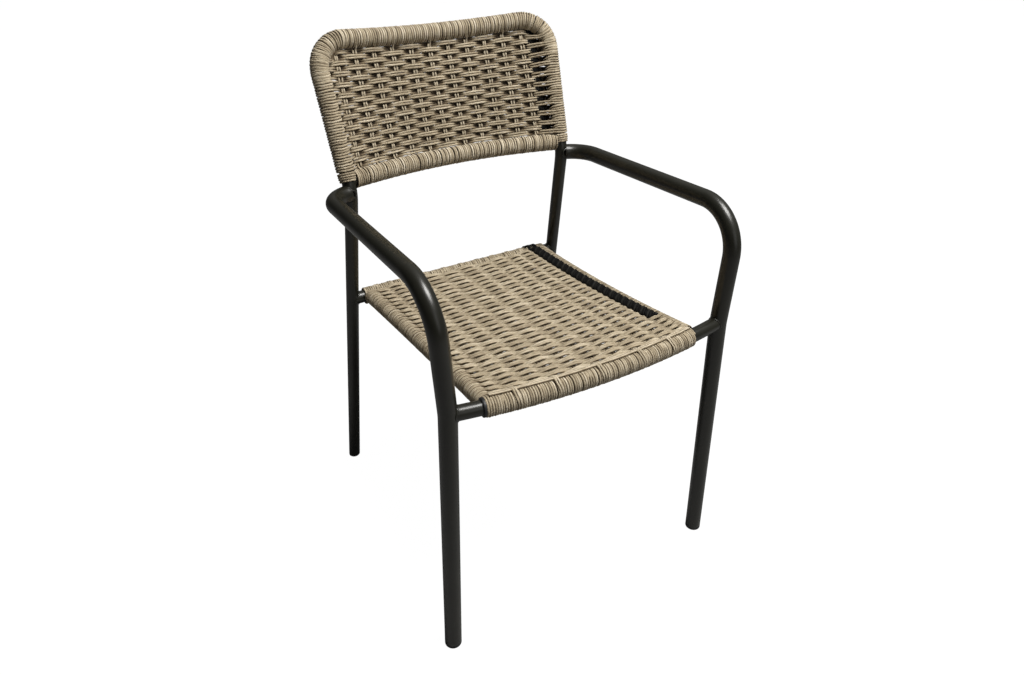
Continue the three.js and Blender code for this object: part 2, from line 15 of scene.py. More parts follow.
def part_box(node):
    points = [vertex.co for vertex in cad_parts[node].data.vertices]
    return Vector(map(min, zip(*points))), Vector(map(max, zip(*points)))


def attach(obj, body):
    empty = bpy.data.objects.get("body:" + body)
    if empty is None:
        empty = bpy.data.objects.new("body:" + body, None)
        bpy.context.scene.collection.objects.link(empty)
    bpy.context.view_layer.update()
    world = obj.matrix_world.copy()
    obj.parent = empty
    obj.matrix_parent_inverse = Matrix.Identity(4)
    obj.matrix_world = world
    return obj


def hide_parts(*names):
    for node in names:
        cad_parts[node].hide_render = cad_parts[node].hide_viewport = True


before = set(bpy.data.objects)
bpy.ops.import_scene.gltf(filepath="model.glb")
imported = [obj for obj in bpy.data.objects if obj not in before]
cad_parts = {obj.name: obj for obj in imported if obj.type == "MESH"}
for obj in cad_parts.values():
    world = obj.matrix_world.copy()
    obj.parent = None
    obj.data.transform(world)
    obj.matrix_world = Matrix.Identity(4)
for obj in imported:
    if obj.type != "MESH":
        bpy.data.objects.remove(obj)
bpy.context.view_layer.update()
rng = np.random.default_rng(7)

MM = 0.001
X = np.array([1.0, 0.0, 0.0])
UP = np.array([0.0, 0.0, 1.0])
SIDES = (("left", -1), ("right", 1))


def vec(x, y, z):
    return np.array([x, y, z], float)


def unit(v):
    return v / np.linalg.norm(v, axis=-1, keepdims=True)


def mirrored(points, side):
    return np.asarray(points) * vec(side, 1, 1)


def mix(a, b, share):
    return a + (b - a) * share


def smooth(share):
    share = np.clip(share, 0, 1)
    return share * share * (3 - 2 * share)


def belly(x, end):
    """1 in the middle of a bowed rail and 0 at its ends."""
    return 1 - (x / end) ** 2


# ---------- sizes, as in the CAD source
ARM_R, HOOP_R, CROSS_R, SIDE_R = 13.5, 11.0, 11.0, 10.0
STRAND_R = 2.0
FOOT_Y = 258.0
REAR_FOOT = vec(226, FOOT_Y, 0)
FRONT_FOOT = vec(252.5, -FOOT_Y, 0)
KNEE = vec(238, 9 - FOOT_Y, 448)
ARM_FRONT = vec(248.5, 12 - FOOT_Y, 631.5)
ARM_REAR = vec(243.5, 143, 611.5)
POST_BEND = vec(202.5, 156.5, 612)
TOP_CORNER = vec(211.5, 236, 832)
KNEE_R, ARM_FRONT_R, ARM_REAR_R, POST_R = 120, 71, 46, 60
ARM_END_STANDOFF = 6
TOP_CORNER_R, TOP_BOW, TOP_DIP = 52, 28, 2.5
LOWER_ABOVE_ARC, LOWER_BOW, LOWER_RISE = 3.15, 25, 9.5
WRAP_ABOVE_ARC = 1.15
SEAT_FRONT_BOW = 24
SEAT_REAR_Z = 402
SIDE_X, SIDE_FRONT_DROP, SIDE_REAR_RISE, SIDE_SAG, SIDE_WAIST = 179, 4, 3, 4.5, 5
WRAP_HALF_WIDTH = 187.0
SEAT_RISE = 9
GLIDE_H, GLIDE_EDGE = 7, 2.5
COLLAR_R, COLLAR_W = 14, 5
HANDLE = 0.5523

RUN = TOP_CORNER - POST_BEND
AXIS = unit(vec(0, RUN[1], RUN[2]))
BEHIND = np.cross(AXIS, X)


# ---------- curves
def bend(before, corner, after, radius, count=28):
    inward, outward = unit(before - corner), unit(after - corner)
    half = math.acos(np.clip(inward @ outward, -1, 1)) / 2
    centre = corner + unit(inward + outward) * radius / math.sin(half)
    reach = radius / math.tan(half)
    first, last = corner + inward * reach - centre, corner + outward * reach - centre
    turn = math.acos(np.clip(unit(first) @ unit(last), -1, 1))
    t = np.linspace(0, 1, count)[:, None]
    return centre + (first * np.sin((1 - t) * turn) + last * np.sin(t * turn)) / math.sin(turn)


def bezier(a, b, c, d, count=28):
    t = np.linspace(0, 1, count)[:, None]
    return (1 - t) ** 3 * a + 3 * (1 - t) ** 2 * t * b + 3 * (1 - t) * t ** 2 * c + t ** 3 * d


def joined(*stretches):
    points = np.concatenate(stretches)
    keep = np.r_[True, np.linalg.norm(np.diff(points, axis=0), axis=1) > 1e-6]
    return points[keep]


def leg_start(foot, after):
    axis = unit(after - foot)
    return foot + axis * GLIDE_H / axis[2]


def lengths_of(points):
    """How far along the line each of its points lies."""
    return np.r_[0, np.cumsum(np.linalg.norm(np.diff(points, axis=0), axis=1))]


def picked(table, lengths, at):
    """What a table of vectors holds at a length along its line."""
    return np.stack([np.interp(at, lengths, table[:, i]) for i in range(3)], -1)


def along(points, step):
    """The same line with points at an even distance."""
    lengths = lengths_of(points)
    count = max(2, int(round(lengths[-1] / step)) + 1)
    return picked(points, lengths, np.linspace(0, lengths[-1], count))


knee_arc = bend(leg_start(FRONT_FOOT, KNEE), KNEE, ARM_FRONT, KNEE_R)
arm_front_arc = bend(KNEE, ARM_FRONT, ARM_REAR, ARM_FRONT_R, 40)
arm_end = POST_BEND + unit(ARM_REAR - POST_BEND) * ARM_END_STANDOFF
arm_rear_arc = bend(ARM_FRONT, ARM_REAR, arm_end, ARM_REAR_R)
arm_line = joined(leg_start(FRONT_FOOT, KNEE)[None], knee_arc, arm_front_arc, arm_rear_arc, arm_end[None])

post_arc = bend(leg_start(REAR_FOOT, POST_BEND), POST_BEND, TOP_CORNER, POST_R)
post_arc_reach = np.linalg.norm(post_arc[-1] - POST_BEND)
upright_end = TOP_CORNER - unit(RUN) * TOP_CORNER_R


def on_upright(above_arc):
    return POST_BEND + unit(RUN) * (post_arc_reach + above_arc)


def cross_rail_point(x, end, bow):
    """A point of a rail from end to its mirror image. bow is how its middle is moved off the straight line."""
    x = np.asarray(x, float)
    return np.stack([x, np.full_like(x, end[1]), np.full_like(x, end[2])], -1) + belly(x, end[0])[..., None] * bow


def top_rail_point(x):
    return cross_rail_point(x, TOP_CORNER, TOP_BOW * BEHIND - TOP_DIP * AXIS)


LOWER_END = on_upright(LOWER_ABOVE_ARC)


def lower_rail_point(x):
    return cross_rail_point(x, LOWER_END, LOWER_BOW * BEHIND + LOWER_RISE * AXIS)


top_run_x = TOP_CORNER[0] - TOP_CORNER_R
corner_arc = bezier(upright_end, mix(upright_end, TOP_CORNER, HANDLE),
                    mix(top_rail_point(top_run_x), TOP_CORNER, HANDLE), top_rail_point(top_run_x))
hoop_half = joined(leg_start(REAR_FOOT, POST_BEND)[None], post_arc, upright_end[None], corner_arc,
                   top_rail_point(np.linspace(top_run_x, 0, 24)))
hoop_line = joined(hoop_half, mirrored(hoop_half[::-1], -1))


def seat_front_point(x):
    return cross_rail_point(x, KNEE, vec(0, -SEAT_FRONT_BOW, 0))


seat_rear_end = mix(REAR_FOOT, POST_BEND, SEAT_REAR_Z / POST_BEND[2])


def seat_rear_point(x):
    return cross_rail_point(x, vec(seat_rear_end[0], seat_rear_end[1], SEAT_REAR_Z), 0)


side_front = seat_front_point(SIDE_X) - UP * SIDE_FRONT_DROP
side_rear = seat_rear_point(SIDE_X) + UP * SIDE_REAR_RISE


def side_rail_point(share):
    """The right-hand side rail; its shares run from the front to the rear."""
    share = np.asarray(share, float)
    point = mix(side_front, side_rear, share[..., None])
    return point - (4 * share * (1 - share))[..., None] * vec(SIDE_WAIST, 0, SIDE_SAG)


# ---------- meshes
shift = np.array([0.0, (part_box("seat_rear_rail")[0].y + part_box("seat_rear_rail")[1].y) / 2
                  - seat_rear_end[1] * MM, 0.0])
STRAND_SIDES = 8
# A strand's ends close in two narrower rings and a tip: places and widths in shares of its radius
DOME_REACH, DOME_WIDTH, TIP_REACH = (0.45, 0.8), (0.85, 0.5), 0.3
# How far out a vertex has to face to leave the painted shade of the crevice beside a strand on a rail, and to be
# wholly out of it
RAIL_GROOVE, WHOLLY_OUT = 0.2, 0.92


def reflected(v, across):
    return v - (2 / (across @ across)) * (across @ v) * across


def turned_frames(points, closed=False):
    """Tangents and two cross axes that turn as little as possible along the line."""
    tangents = unit(np.roll(points, -1, 0) - np.roll(points, 1, 0) if closed else np.gradient(points, axis=0))
    seed = UP if abs(tangents[0] @ UP) < 0.9 else X
    normals = np.empty_like(points)
    normals[0] = unit(seed - (seed @ tangents[0]) * tangents[0])
    for i in range(1, len(points)):
        step = points[i] - points[i - 1]
        normal, tangent = reflected(normals[i - 1], step), reflected(tangents[i - 1], step)
        change = tangents[i] - tangent
        if change @ change >= 1e-12:
            normal = reflected(normal, change)
        normals[i] = normal - (normal @ tangents[i]) * tangents[i]
        normals[i] /= np.linalg.norm(normals[i])
    return tangents, normals, np.cross(tangents, normals)


def spokes(normals, sideways, sides):
    """The ways from each point of a line to the vertices round it."""
    angle = (np.arange(sides) * 2 * math.pi / sides)[:, None]
    return normals[:, None] * np.cos(angle) + sideways[:, None] * np.sin(angle)


def painted_crevice_shade(ring, points, radii, field):
    """Painted shade for each vertex of a strand: how far it is out of the crevices, 1 on a crest, 0 between strands
    and behind.
    """
    if field is None:
        return np.ones(ring.shape[:2])
    outward, depth, share, (low, high), groove = field(points)
    facing = np.sum(ring * outward[:, None], -1)
    height = depth[:, None] + radii[:, None] * facing
    level = mix(smooth((-height - low) / (high - low)), smooth((height - low) / (high - low)),
                smooth(0.5 + 1.5 * facing))
    start = mix(RAIL_GROOVE, groove, share)[:, None]
    return smooth((np.abs(facing) - start) / (WHOLLY_OUT - start)) * mix(1.0, level, share[:, None])


class Builder:
    """Collects skins of strands and rings, and makes one mesh object of them."""

    def __init__(self):
        self.points, self.tones, self.cavities, self.polys, self.total = [], [], [], [], 0

    def skin(self, rings, tips=None, lengths=None, tone=0.5, painted_shade=1.0):
        """Quads over a list of rings, and a fan from each tip to the ring beside it. Without tips the last
        ring joins the first. lengths are the rings' places for the texture."""
        count, sides = rings.shape[:2]
        i, j = (part.ravel() for part in np.meshgrid(np.arange(count if tips is None else count - 1),
                                                     np.arange(sides), indexing="ij"))
        k, here, there = (j + 1) % sides, i * sides, (i + 1) % count * sides
        quads = np.stack([here + j, here + k, there + k, there + j], 1)
        uvs = np.zeros((len(quads), 4, 2))
        if lengths is not None:
            uvs = np.stack([np.stack([lengths[a], b / sides], 1)
                            for a, b in ((i, j), (i, j + 1), (i + 1, j + 1), (i + 1, j))], 1)
        points, polys = rings.reshape(-1, 3), [(quads, uvs)]
        if tips is not None:
            points = np.concatenate([points, tips])
            j = np.arange(sides)
            k, tip, there = (j + 1) % sides, count * sides, (count - 1) * sides
            for fan in ([tip + 0 * j, k, j], [tip + 1 + 0 * j, there + j, there + k]):
                polys.append((np.stack(fan, 1), np.zeros((sides, 3, 2))))
        self.points.append(points)
        self.polys += [(corners + self.total, uv) for corners, uv in polys]
        for kept, value in ((self.tones, tone), (self.cavities, painted_shade)):
            kept.append(np.broadcast_to(value, len(points)).astype(np.float32))
        self.total += len(points)

    def rings(self, rings):
        """A skin over rings, closed flat at both ends."""
        self.skin(rings, rings[[0, -1]].mean(1))

    def strand(self, points, radius=STRAND_R, tone=0.5, field=None, closed=False):
        """A round strand. field gives, at its points, the way out of the rope work and how open both faces are, which
        sets the painted shade in its crevices.
        """
        tangents, normals, sideways = turned_frames(points, closed)
        radii, tones = (np.broadcast_to(np.asarray(value, float), len(points)) for value in (radius, tone))
        if not closed:
            inside = len(points)
            held = np.clip(np.arange(-2, inside + 2), 0, inside - 1)
            tangents, normals, sideways, radii, tones = (
                values[held] for values in (tangents, normals, sideways, radii, tones))
            reach = np.r_[-DOME_REACH[1], -DOME_REACH[0], np.zeros(inside), DOME_REACH]
            points = points[held] + tangents * radii[:, None] * reach[:, None]
            radii = radii * np.r_[DOME_WIDTH[::-1], np.ones(inside), DOME_WIDTH]
        ring = spokes(normals, sideways, STRAND_SIDES)
        rings = points[:, None] + ring * radii[:, None, None]
        # painted shade: how far each vertex lies in the crevices of the rope work
        painted_shade = painted_crevice_shade(ring, points, radii, field)
        vertex_tones = np.repeat(tones, STRAND_SIDES)
        if closed:
            lengths = np.arange(len(points) + 1) * np.linalg.norm(points[1] - points[0]) * MM
            return self.skin(rings, None, lengths, vertex_tones, painted_shade.ravel())
        ends = [0, -1]
        tips = points[ends] + tangents[ends] * radii[ends, None] * np.array([[-TIP_REACH], [TIP_REACH]])
        return self.skin(rings, tips, lengths_of(points) * MM, np.r_[vertex_tones, tones[ends]],
                         np.r_[painted_shade.ravel(), painted_shade[ends].mean(1)])

    def build(self, name, nodes, slot="taupe_rope"):
        co = (np.concatenate(self.points) * MM + shift).astype(np.float32)
        mesh = bpy.data.meshes.new(name)
        mesh.vertices.add(len(co))
        mesh.vertices.foreach_set("co", co.ravel())
        index = np.concatenate([corners.ravel() for corners, uv in self.polys]).astype(np.int32)
        sizes = np.concatenate([np.full(len(corners), corners.shape[1]) for corners, uv in self.polys])
        mesh.loops.add(len(index))
        mesh.loops.foreach_set("vertex_index", index)
        mesh.polygons.add(len(sizes))
        mesh.polygons.foreach_set("loop_start", np.r_[0, np.cumsum(sizes)[:-1]].astype(np.int32))
        uvs = np.concatenate([uv.ravel() for corners, uv in self.polys]).astype(np.float32)
        mesh.uv_layers.new(name="UVMap").data.foreach_set("uv", uvs)
        for attribute, values in (("tone", self.tones), ("painted_shade", self.cavities)):
            mesh.attributes.new(attribute, "FLOAT", "POINT").data.foreach_set("value", np.concatenate(values))
        mesh.update(calc_edges=True)
        mesh.validate()
        mesh.polygons.foreach_set("use_smooth", np.full(len(mesh.polygons), True))
        mesh.materials.append(MATERIALS[slot])
        obj = bpy.data.objects.new(name, mesh)
        bpy.context.scene.collection.objects.link(obj)
        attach(obj, "root")
        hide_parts(*nodes)


# ---------- noise, the same on each run
class Wander:
    """A smooth random function of one number, from about -1 to 1."""

    def __init__(self, *waves):
        self.parts = [(w, rng.uniform(0, 2 * math.pi), rng.uniform(0.6, 1)) for w in waves]

    def __call__(self, at):
        total = sum(a * np.sin(2 * math.pi * np.asarray(at, float) / w + p) for w, p, a in self.parts)
        return total / sum(a for w, p, a in self.parts) * 1.3


def either():
    return rng.uniform(-1, 1)


# ---------- materials
class Nodes:
    """A node tree, with short ways to add to it. An input takes a number, a colour or a node's output."""

    def __init__(self, tree):
        self.tree = tree

    def feed(self, node, values):
        for key, value in values.items():
            if isinstance(value, bpy.types.NodeSocket):
                self.tree.links.new(value, node.inputs[key])
            else:
                node.inputs[key].default_value = (*value, 1) if isinstance(value, tuple) else value

    def add(self, kind, values=None, **fields):
        node = self.tree.nodes.new("ShaderNode" + kind)
        for field, value in fields.items():
            setattr(node, field, value)
        self.feed(node, values or {})
        return node.outputs

    def math(self, operation, *values):
        return self.add("Math", dict(enumerate(values)), operation=operation)[0]

    def scaled(self, value, factor, offset):
        return self.math("ADD", self.math("MULTIPLY", value, factor), offset)

    def noise(self, scale, detail):
        place = self.add("TexCoord")["Object"]
        return self.add("TexNoise", {"Scale": scale, "Detail": detail, "Vector": place})["Fac"]

    def ramp(self, factor, *stops):
        node = self.tree.nodes.new("ShaderNodeValToRGB")
        elements = node.color_ramp.elements
        while len(elements) < len(stops):
            elements.new(0.5)
        for element, (place, colour) in zip(elements, stops):
            element.position = place
            element.color = (*colour, 1)
        self.feed(node, {"Fac": factor})
        return node.outputs["Color"]

    def blend(self, kind, factor, a, b):
        return self.add("Mix", {0: factor, 6: a, 7: b}, data_type="RGBA", blend_type=kind)[2]

    def bump(self, height, distance, strength=1.0):
        return self.add("Bump", {"Distance": distance, "Strength": strength, "Height": height})["Normal"]


MATERIALS = {}


def new_material(name):
    """The nodes of a new material, and its shader."""
    material = MATERIALS[name] = bpy.data.materials.new(name)
    material.use_nodes = True
    return Nodes(material.node_tree), material.node_tree.nodes["Principled BSDF"]


DARK, WHITE = (0, 0, 0), (1, 1, 1)
# The light that is left deep in the crevices and halfway out of them
CREVICE, HALF_CREVICE = (0.07, 0.045, 0.025), (0.46, 0.41, 0.34)
YARNS, FIBRES, LAY = 3, 14, 9 * MM
# How round the yarns are, and how much painted shade darkens the grooves between them
YARN_ROUNDNESS, YARN_SHADE = 0.6, 0.35
# The sizes of patches and of fine fluff, and how much they and the fibres change the rope's tone
PATCHES, FLUFF = 90.0, 1400.0
PATCH_TONE, FLUFF_TONE, FIBRE_TONE = 0.7, 0.5, 0.05
YARN_HEIGHT, FIBRE_HEIGHT, FLUFF_HEIGHT, ROPE_RELIEF = 0.75, 0.12, 0.3, 0.35 * MM


def rope_material(name, tones, roughness, sheen, gloss):
    """A laid rope: three yarns that turn round it, in tones that differ from strand to strand, and painted shade in
    the grooves between the yarns and in the crevices of the rope work.
    """
    nodes, shader = new_material(name)
    parts = nodes.add("SeparateXYZ", {0: nodes.add("UVMap", uv_map="UVMap")["UV"]})
    turn = nodes.math("SUBTRACT", nodes.math("DIVIDE", parts["X"], LAY), parts["Y"])
    yarn, fibre = (nodes.math("SINE", nodes.math("MULTIPLY", turn, count * 2 * math.pi))
                   for count in (YARNS, FIBRES))
    groove = nodes.math("POWER", nodes.math("ABSOLUTE", yarn), YARN_ROUNDNESS)
    fluff = nodes.noise(FLUFF, 2.0)
    level = nodes.add("Attribute", attribute_name="tone")["Fac"]
    for source, spread in ((nodes.noise(PATCHES, 3.0), PATCH_TONE), (fluff, FLUFF_TONE)):
        level = nodes.scaled(nodes.math("SUBTRACT", source, 0.5), spread, level)
    level = nodes.scaled(fibre, FIBRE_TONE, level)
    colour = nodes.ramp(level, *zip((0.0, 0.5, 1.0), tones))
    # Painted shade: the colour is darkened in the grooves between the yarns and, by the value from the strands, in
    # the crevices and recesses of the rope work
    shade = nodes.ramp(nodes.scaled(groove, YARN_SHADE, 1 - YARN_SHADE), (0.0, DARK), (1.0, WHITE))
    painted_shade = nodes.add("Attribute", attribute_name="painted_shade")["Fac"]
    depth = nodes.ramp(painted_shade, (0.0, CREVICE), (0.45, HALF_CREVICE), (1.0, WHITE))
    for shadow in (shade, depth):
        colour = nodes.blend("MULTIPLY", 1.0, colour, shadow)
    height = nodes.scaled(fibre, FIBRE_HEIGHT, nodes.math("MULTIPLY", groove, YARN_HEIGHT))
    height = nodes.scaled(fluff, FLUFF_HEIGHT, height)
    nodes.feed(shader, {"Base Color": colour, "Normal": nodes.bump(height, ROPE_RELIEF), "Roughness": roughness,
                        "Sheen Weight": sheen, "Sheen Roughness": 0.5, "Specular IOR Level": gloss})


def coat_material(name, colour, roughness, grain):
    """Powder coat or moulded plastic: a fine orange peel and a little unevenness in its gloss."""
    nodes, shader = new_material(name)
    deep, pale = (tuple(c * share for c in colour) for share in (0.82, 1.2))
    peel = nodes.scaled(nodes.noise(grain * 0.22, 2.0), 0.6, nodes.noise(grain, 3.0))
    nodes.feed(shader, {"Base Color": nodes.ramp(nodes.noise(14.0, 3.0), (0.3, deep), (0.7, pale)),
                        "Roughness": nodes.scaled(nodes.noise(60.0, 4.0), 0.12, roughness - 0.06),
                        "Normal": nodes.bump(peel, 0.05 * MM, 0.5), "Specular IOR Level": 0.5})


TAUPE_TONES = (0.22, 0.17, 0.11), (0.48, 0.40, 0.275), (0.83, 0.735, 0.57)
BLACK_TONES = (0.002, 0.002, 0.002), (0.006, 0.006, 0.0055), (0.022, 0.022, 0.02)
rope_material("taupe_rope", TAUPE_TONES, roughness=0.75, sheen=0.1, gloss=0.35)
rope_material("black_rope", BLACK_TONES, roughness=0.7, sheen=0.0, gloss=0.14)
coat_material("frame_coat", (0.0125, 0.0122, 0.0085), roughness=0.3, grain=2600.0)
coat_material("black_plastic", (0.012, 0.012, 0.013), roughness=0.5, grain=1500.0)

# ---------- frame tubes
TUBE_SIDES, TUBE_STEP, END_ROUNDING = 48, 4.0, 1.2
BEAD_R, BEAD_POINTS = 1.5, 56
# Places on the cross rails from which the search for their welds starts
FRONT_WELD_X, REAR_WELD_X = 210, 190


def tube(name, line, radius, node, beads=()):
    """A smooth tube with slightly rounded ends, and the weld beads at them."""
    points = along(line, TUBE_STEP)
    tangents, normals, sideways = turned_frames(points)
    ring = spokes(normals, sideways, TUBE_SIDES)
    ends = [[points[end] - inward * tangents[end] * END_ROUNDING * math.sin(turn)
             + ring[end] * (radius - END_ROUNDING * (1 - math.cos(turn))) for turn in np.radians((90, 60, 30))]
            for end, inward in ((0, 1), (-1, -1))]
    builder = Builder()
    builder.rings(np.concatenate([ends[0], points[:, None] + ring * radius, ends[1][::-1]]))
    for bead in beads:
        builder.strand(bead, BEAD_R, closed=True)
    builder.build(name, [node], "frame_coat")


def weld(centre, axis, radius, other_point, other_axis, other_radius):
    """The line where a tube from centre along axis meets the skin of another tube."""
    u = unit(np.cross(axis, other_axis))
    v = np.cross(axis, u)
    across = axis - (axis @ other_axis) * other_axis
    a = across @ across
    points = []
    for angle in np.arange(BEAD_POINTS) * 2 * math.pi / BEAD_POINTS:
        start = centre + radius * (math.cos(angle) * u + math.sin(angle) * v) - other_point
        flat = start - (start @ other_axis) * other_axis
        b, c = 2 * (flat @ across), flat @ flat - other_radius ** 2
        t = (-b - math.sqrt(max(b * b - 4 * a * c, 0))) / (2 * a)
        points.append(start + other_point + axis * t)
    return np.array(points)


def both_sides(line):
    return [mirrored(line, side) for name, side in SIDES]


leg_axis_front, leg_axis_rear = unit(KNEE - FRONT_FOOT), unit(POST_BEND - REAR_FOOT)
span = np.linspace(-1, 1, 60)
front_axis = unit(seat_front_point(KNEE[0]) - seat_front_point(KNEE[0] - 10))
front_bead = weld(seat_front_point(FRONT_WELD_X), front_axis, CROSS_R, KNEE, leg_axis_front, ARM_R)
rear_bead = weld(seat_rear_point(REAR_WELD_X), X, CROSS_R, seat_rear_end, leg_axis_rear, HOOP_R)
# The arm's bead lies a little inside its skin, on the hoop's bend
arm_bead = weld(arm_rear_arc[-1], unit(arm_end - ARM_REAR), ARM_R - 1.5, POST_BEND,
                unit(leg_axis_rear + unit(RUN)), HOOP_R)
tube("hoop_tube", hoop_line, HOOP_R, "back_hoop_tube")
tube("front_cross_rail", seat_front_point(span * (KNEE[0] - 2)), CROSS_R, "seat_front_rail", both_sides(front_bead))
tube("rear_cross_rail", seat_rear_point(span * seat_rear_end[0]), CROSS_R, "seat_rear_rail", both_sides(rear_bead))
tube("back_bottom_rail", lower_rail_point(span * LOWER_END[0]), CROSS_R, "back_lower_rail")
for name, side in SIDES:
    tube(f"arm_and_leg_{name}", mirrored(arm_line, side), ARM_R, f"arm_and_front_leg_{name}",
         [mirrored(arm_bead, side)])
    tube(f"side_rail_{name}", mirrored(side_rail_point(np.linspace(0.02, 0.98, 60)), side), SIDE_R,
         f"seat_side_rail_{name}")

# ---------- glides and collar
LATHE_SIDES = 40
# Where a glide goes in to its tube: heights from its top and widths from the tube's
GLIDE_NECK_HEIGHTS, GLIDE_NECK_WIDTHS = np.array([-0.9, -0.3, 0.4]), np.array([0, -0.5, -0.6])
COLLAR_GAP, COLLAR_EDGE = 0.3, 0.6


def lathe(centres, u, v, radii):
    """A builder with a turned piece: circles in the plane of u and v."""
    ring = spokes(u[None], v[None], LATHE_SIDES)[0]
    builder = Builder()
    builder.rings(np.array([centre + ring * radius for centre, radius in zip(centres, radii)]))
    return builder


for name, side in SIDES:
    for place, foot, after, radius in (("front", FRONT_FOOT, KNEE, ARM_R), ("rear", REAR_FOOT, POST_BEND, HOOP_R)):
        axis = unit(after - foot)
        quarter = np.radians(np.linspace(0, 90, 7))
        heights = np.r_[GLIDE_EDGE * (1 - np.cos(quarter)), GLIDE_H + GLIDE_NECK_HEIGHTS]
        radii = np.r_[radius - GLIDE_EDGE + GLIDE_EDGE * np.sin(quarter), radius + GLIDE_NECK_WIDTHS]
        glide = lathe([mirrored(foot + axis * h / axis[2], side) for h in heights], X, vec(0, 1, 0), radii)
        glide.build(f"glide_{place}_{name}", [f"foot_glide_{place}_{name}"], "black_plastic")
collar_x = WRAP_HALF_WIDTH + COLLAR_GAP + np.array([0.0, COLLAR_EDGE, COLLAR_W - COLLAR_EDGE, COLLAR_W])
centres = mirrored(seat_front_point(collar_x), -1)
axis = unit(centres[-1] - centres[0])
u = unit(UP - (UP @ axis) * axis)
collar = lathe(centres, u, np.cross(axis, u), COLLAR_R - COLLAR_EDGE * np.array([1, 0, 0, 1]))
collar.build("collar_left", ["front_rail_collar_left"], "black_plastic")


# ---------- rails that rope goes round
def off_rail(outward):
    """What a field gives where rope goes round a rail: there is no sheet to lie deep in."""
    none = np.zeros(len(outward))
    return outward, none, none, (-1, 0), RAIL_GROOVE


class Rail:
    """A rail's centre line by its length, with the axis that faces the viewer and the one that faces out."""

    def __init__(self, points, face, outward):
        self.points = along(points, 1.0)
        self.lengths = lengths_of(self.points)
        self.length = self.lengths[-1]
        tangents = unit(np.gradient(self.points, axis=0))
        faces = np.broadcast_to(face, tangents.shape)
        self.face = unit(faces - np.sum(faces * tangents, 1, keepdims=True) * tangents)
        out = np.cross(tangents, self.face)
        # 1 if degrees count right-handed along the rail; the unevenness of turns follows it
        self.sign = np.sign(out[len(out) // 2] @ outward)
        self.out = out * self.sign
        self.tree = KDTree(len(self.points))
        for i, point in enumerate(self.points):
            self.tree.insert(point, i)
        self.tree.balance()

    def away(self, points):
        """From the rail's nearest point to each of the points, and how far that is."""
        nearest = np.array([self.tree.find(p)[1] for p in points])
        away = points - self.points[nearest]
        distance = np.linalg.norm(away, axis=1)
        return away / np.maximum(distance, 1e-6)[:, None], distance

    def field(self, points):
        return off_rail(self.away(points)[0])

    def frame(self, at):
        """The rail's point at a length, its way to the viewer and its way out."""
        return [picked(table, self.lengths, at) for table in (self.points, self.face, self.out)]

    def at_x(self, x):
        """The length at which the rail passes x."""
        order = np.argsort(self.points[:, 0])
        return np.interp(x, self.points[order, 0], self.lengths[order])

    def around(self, at, degrees, radius):
        """Places off the rail: 0 degrees faces the viewer, and 90 is out."""
        point, face, out = self.frame(at)
        angle = np.radians(degrees)[..., None]
        return point + np.asarray(radius)[..., None] * (np.cos(angle) * face + np.sin(angle) * out)


STEPS_A_TURN, TURN_PITCH = 22, 3.7
TURN_R = 1.93
WRAP_R = HOOP_R + STRAND_R + 0.1
# How far turns stray along the rail, each and in bunches, and off it; less so near the ends of a run
STRAY, BUNCHING, LIFTING = 0.65, 0.3, 0.3


def turns(rail, start, end, first, last, radius, lean=0.0):
    """Turns from one length and angle on a rail to another, with a rope's unevenness."""
    count = max(int(abs(last - first) / 360 * STEPS_A_TURN), 3)
    share = np.linspace(0, 1, count)
    angle = mix(first, last, share)
    turn = rail.sign * (angle - first) / 360
    stray, bunch, height = Wander(2.3, 3.7, 7.1), Wander(2.2, 3.3, 6.9), Wander(1.7, 3.1, 5.3)
    fade = np.minimum(1, 6 * np.minimum(share, 1 - share) + 0.1)
    at = mix(start, end, share) + fade * (
        STRAY * stray(turn) + lean * np.cos(np.radians(angle)) + BUNCHING * bunch(turn))
    return rail.around(at, angle, radius + LIFTING * height(turn)), turn


def open_turn(builder, rail, at, reach, radius, stray, contrast):
    """A turn whose ends pass under other turns."""
    angle = np.linspace(*reach, 24)
    at = at + 0.4 * np.sin(np.radians(angle * 1.3 + rng.uniform(0, 90)))
    line = rail.around(at, angle, radius + stray * either())
    builder.strand(line, STRAND_R, 0.5 + contrast * either(), rail.field)


def tone_along(turn, base=0.5, spread=0.3):
    return base + spread * Wander(1.3, 2.7, 6.1)(turn)


def bridge(before, after, step=2.2, least=1.2):
    """A smooth stretch from the end of one line to the start of the next, without its ends."""
    a, b = before[-1], after[0]
    gap = np.linalg.norm(b - a)
    if gap < least:
        return np.empty((0, 3))
    count = max(int(gap / step), 2)
    t = (np.arange(1, count) / count)[:, None]
    pull = gap * 0.75
    return ((2 * t ** 3 - 3 * t ** 2 + 1) * a + (t ** 3 - 2 * t ** 2 + t) * pull * unit(before[-1] - before[-2])
            + (-2 * t ** 3 + 3 * t ** 2) * b + (t ** 3 - t ** 2) * pull * unit(after[1] - after[0]))


def clean_line(pieces, tones, least=0.7):
    """One line out of its stretches, with points that lie too close together left out."""
    points = np.concatenate(pieces)
    tone = np.concatenate([np.broadcast_to(tone, len(piece)) for piece, tone in zip(pieces, tones)])
    keep = [0]
    for i in range(1, len(points)):
        if np.linalg.norm(points[i] - points[keep[-1]]) > least:
            keep.append(i)
    return points[keep], tone[keep]


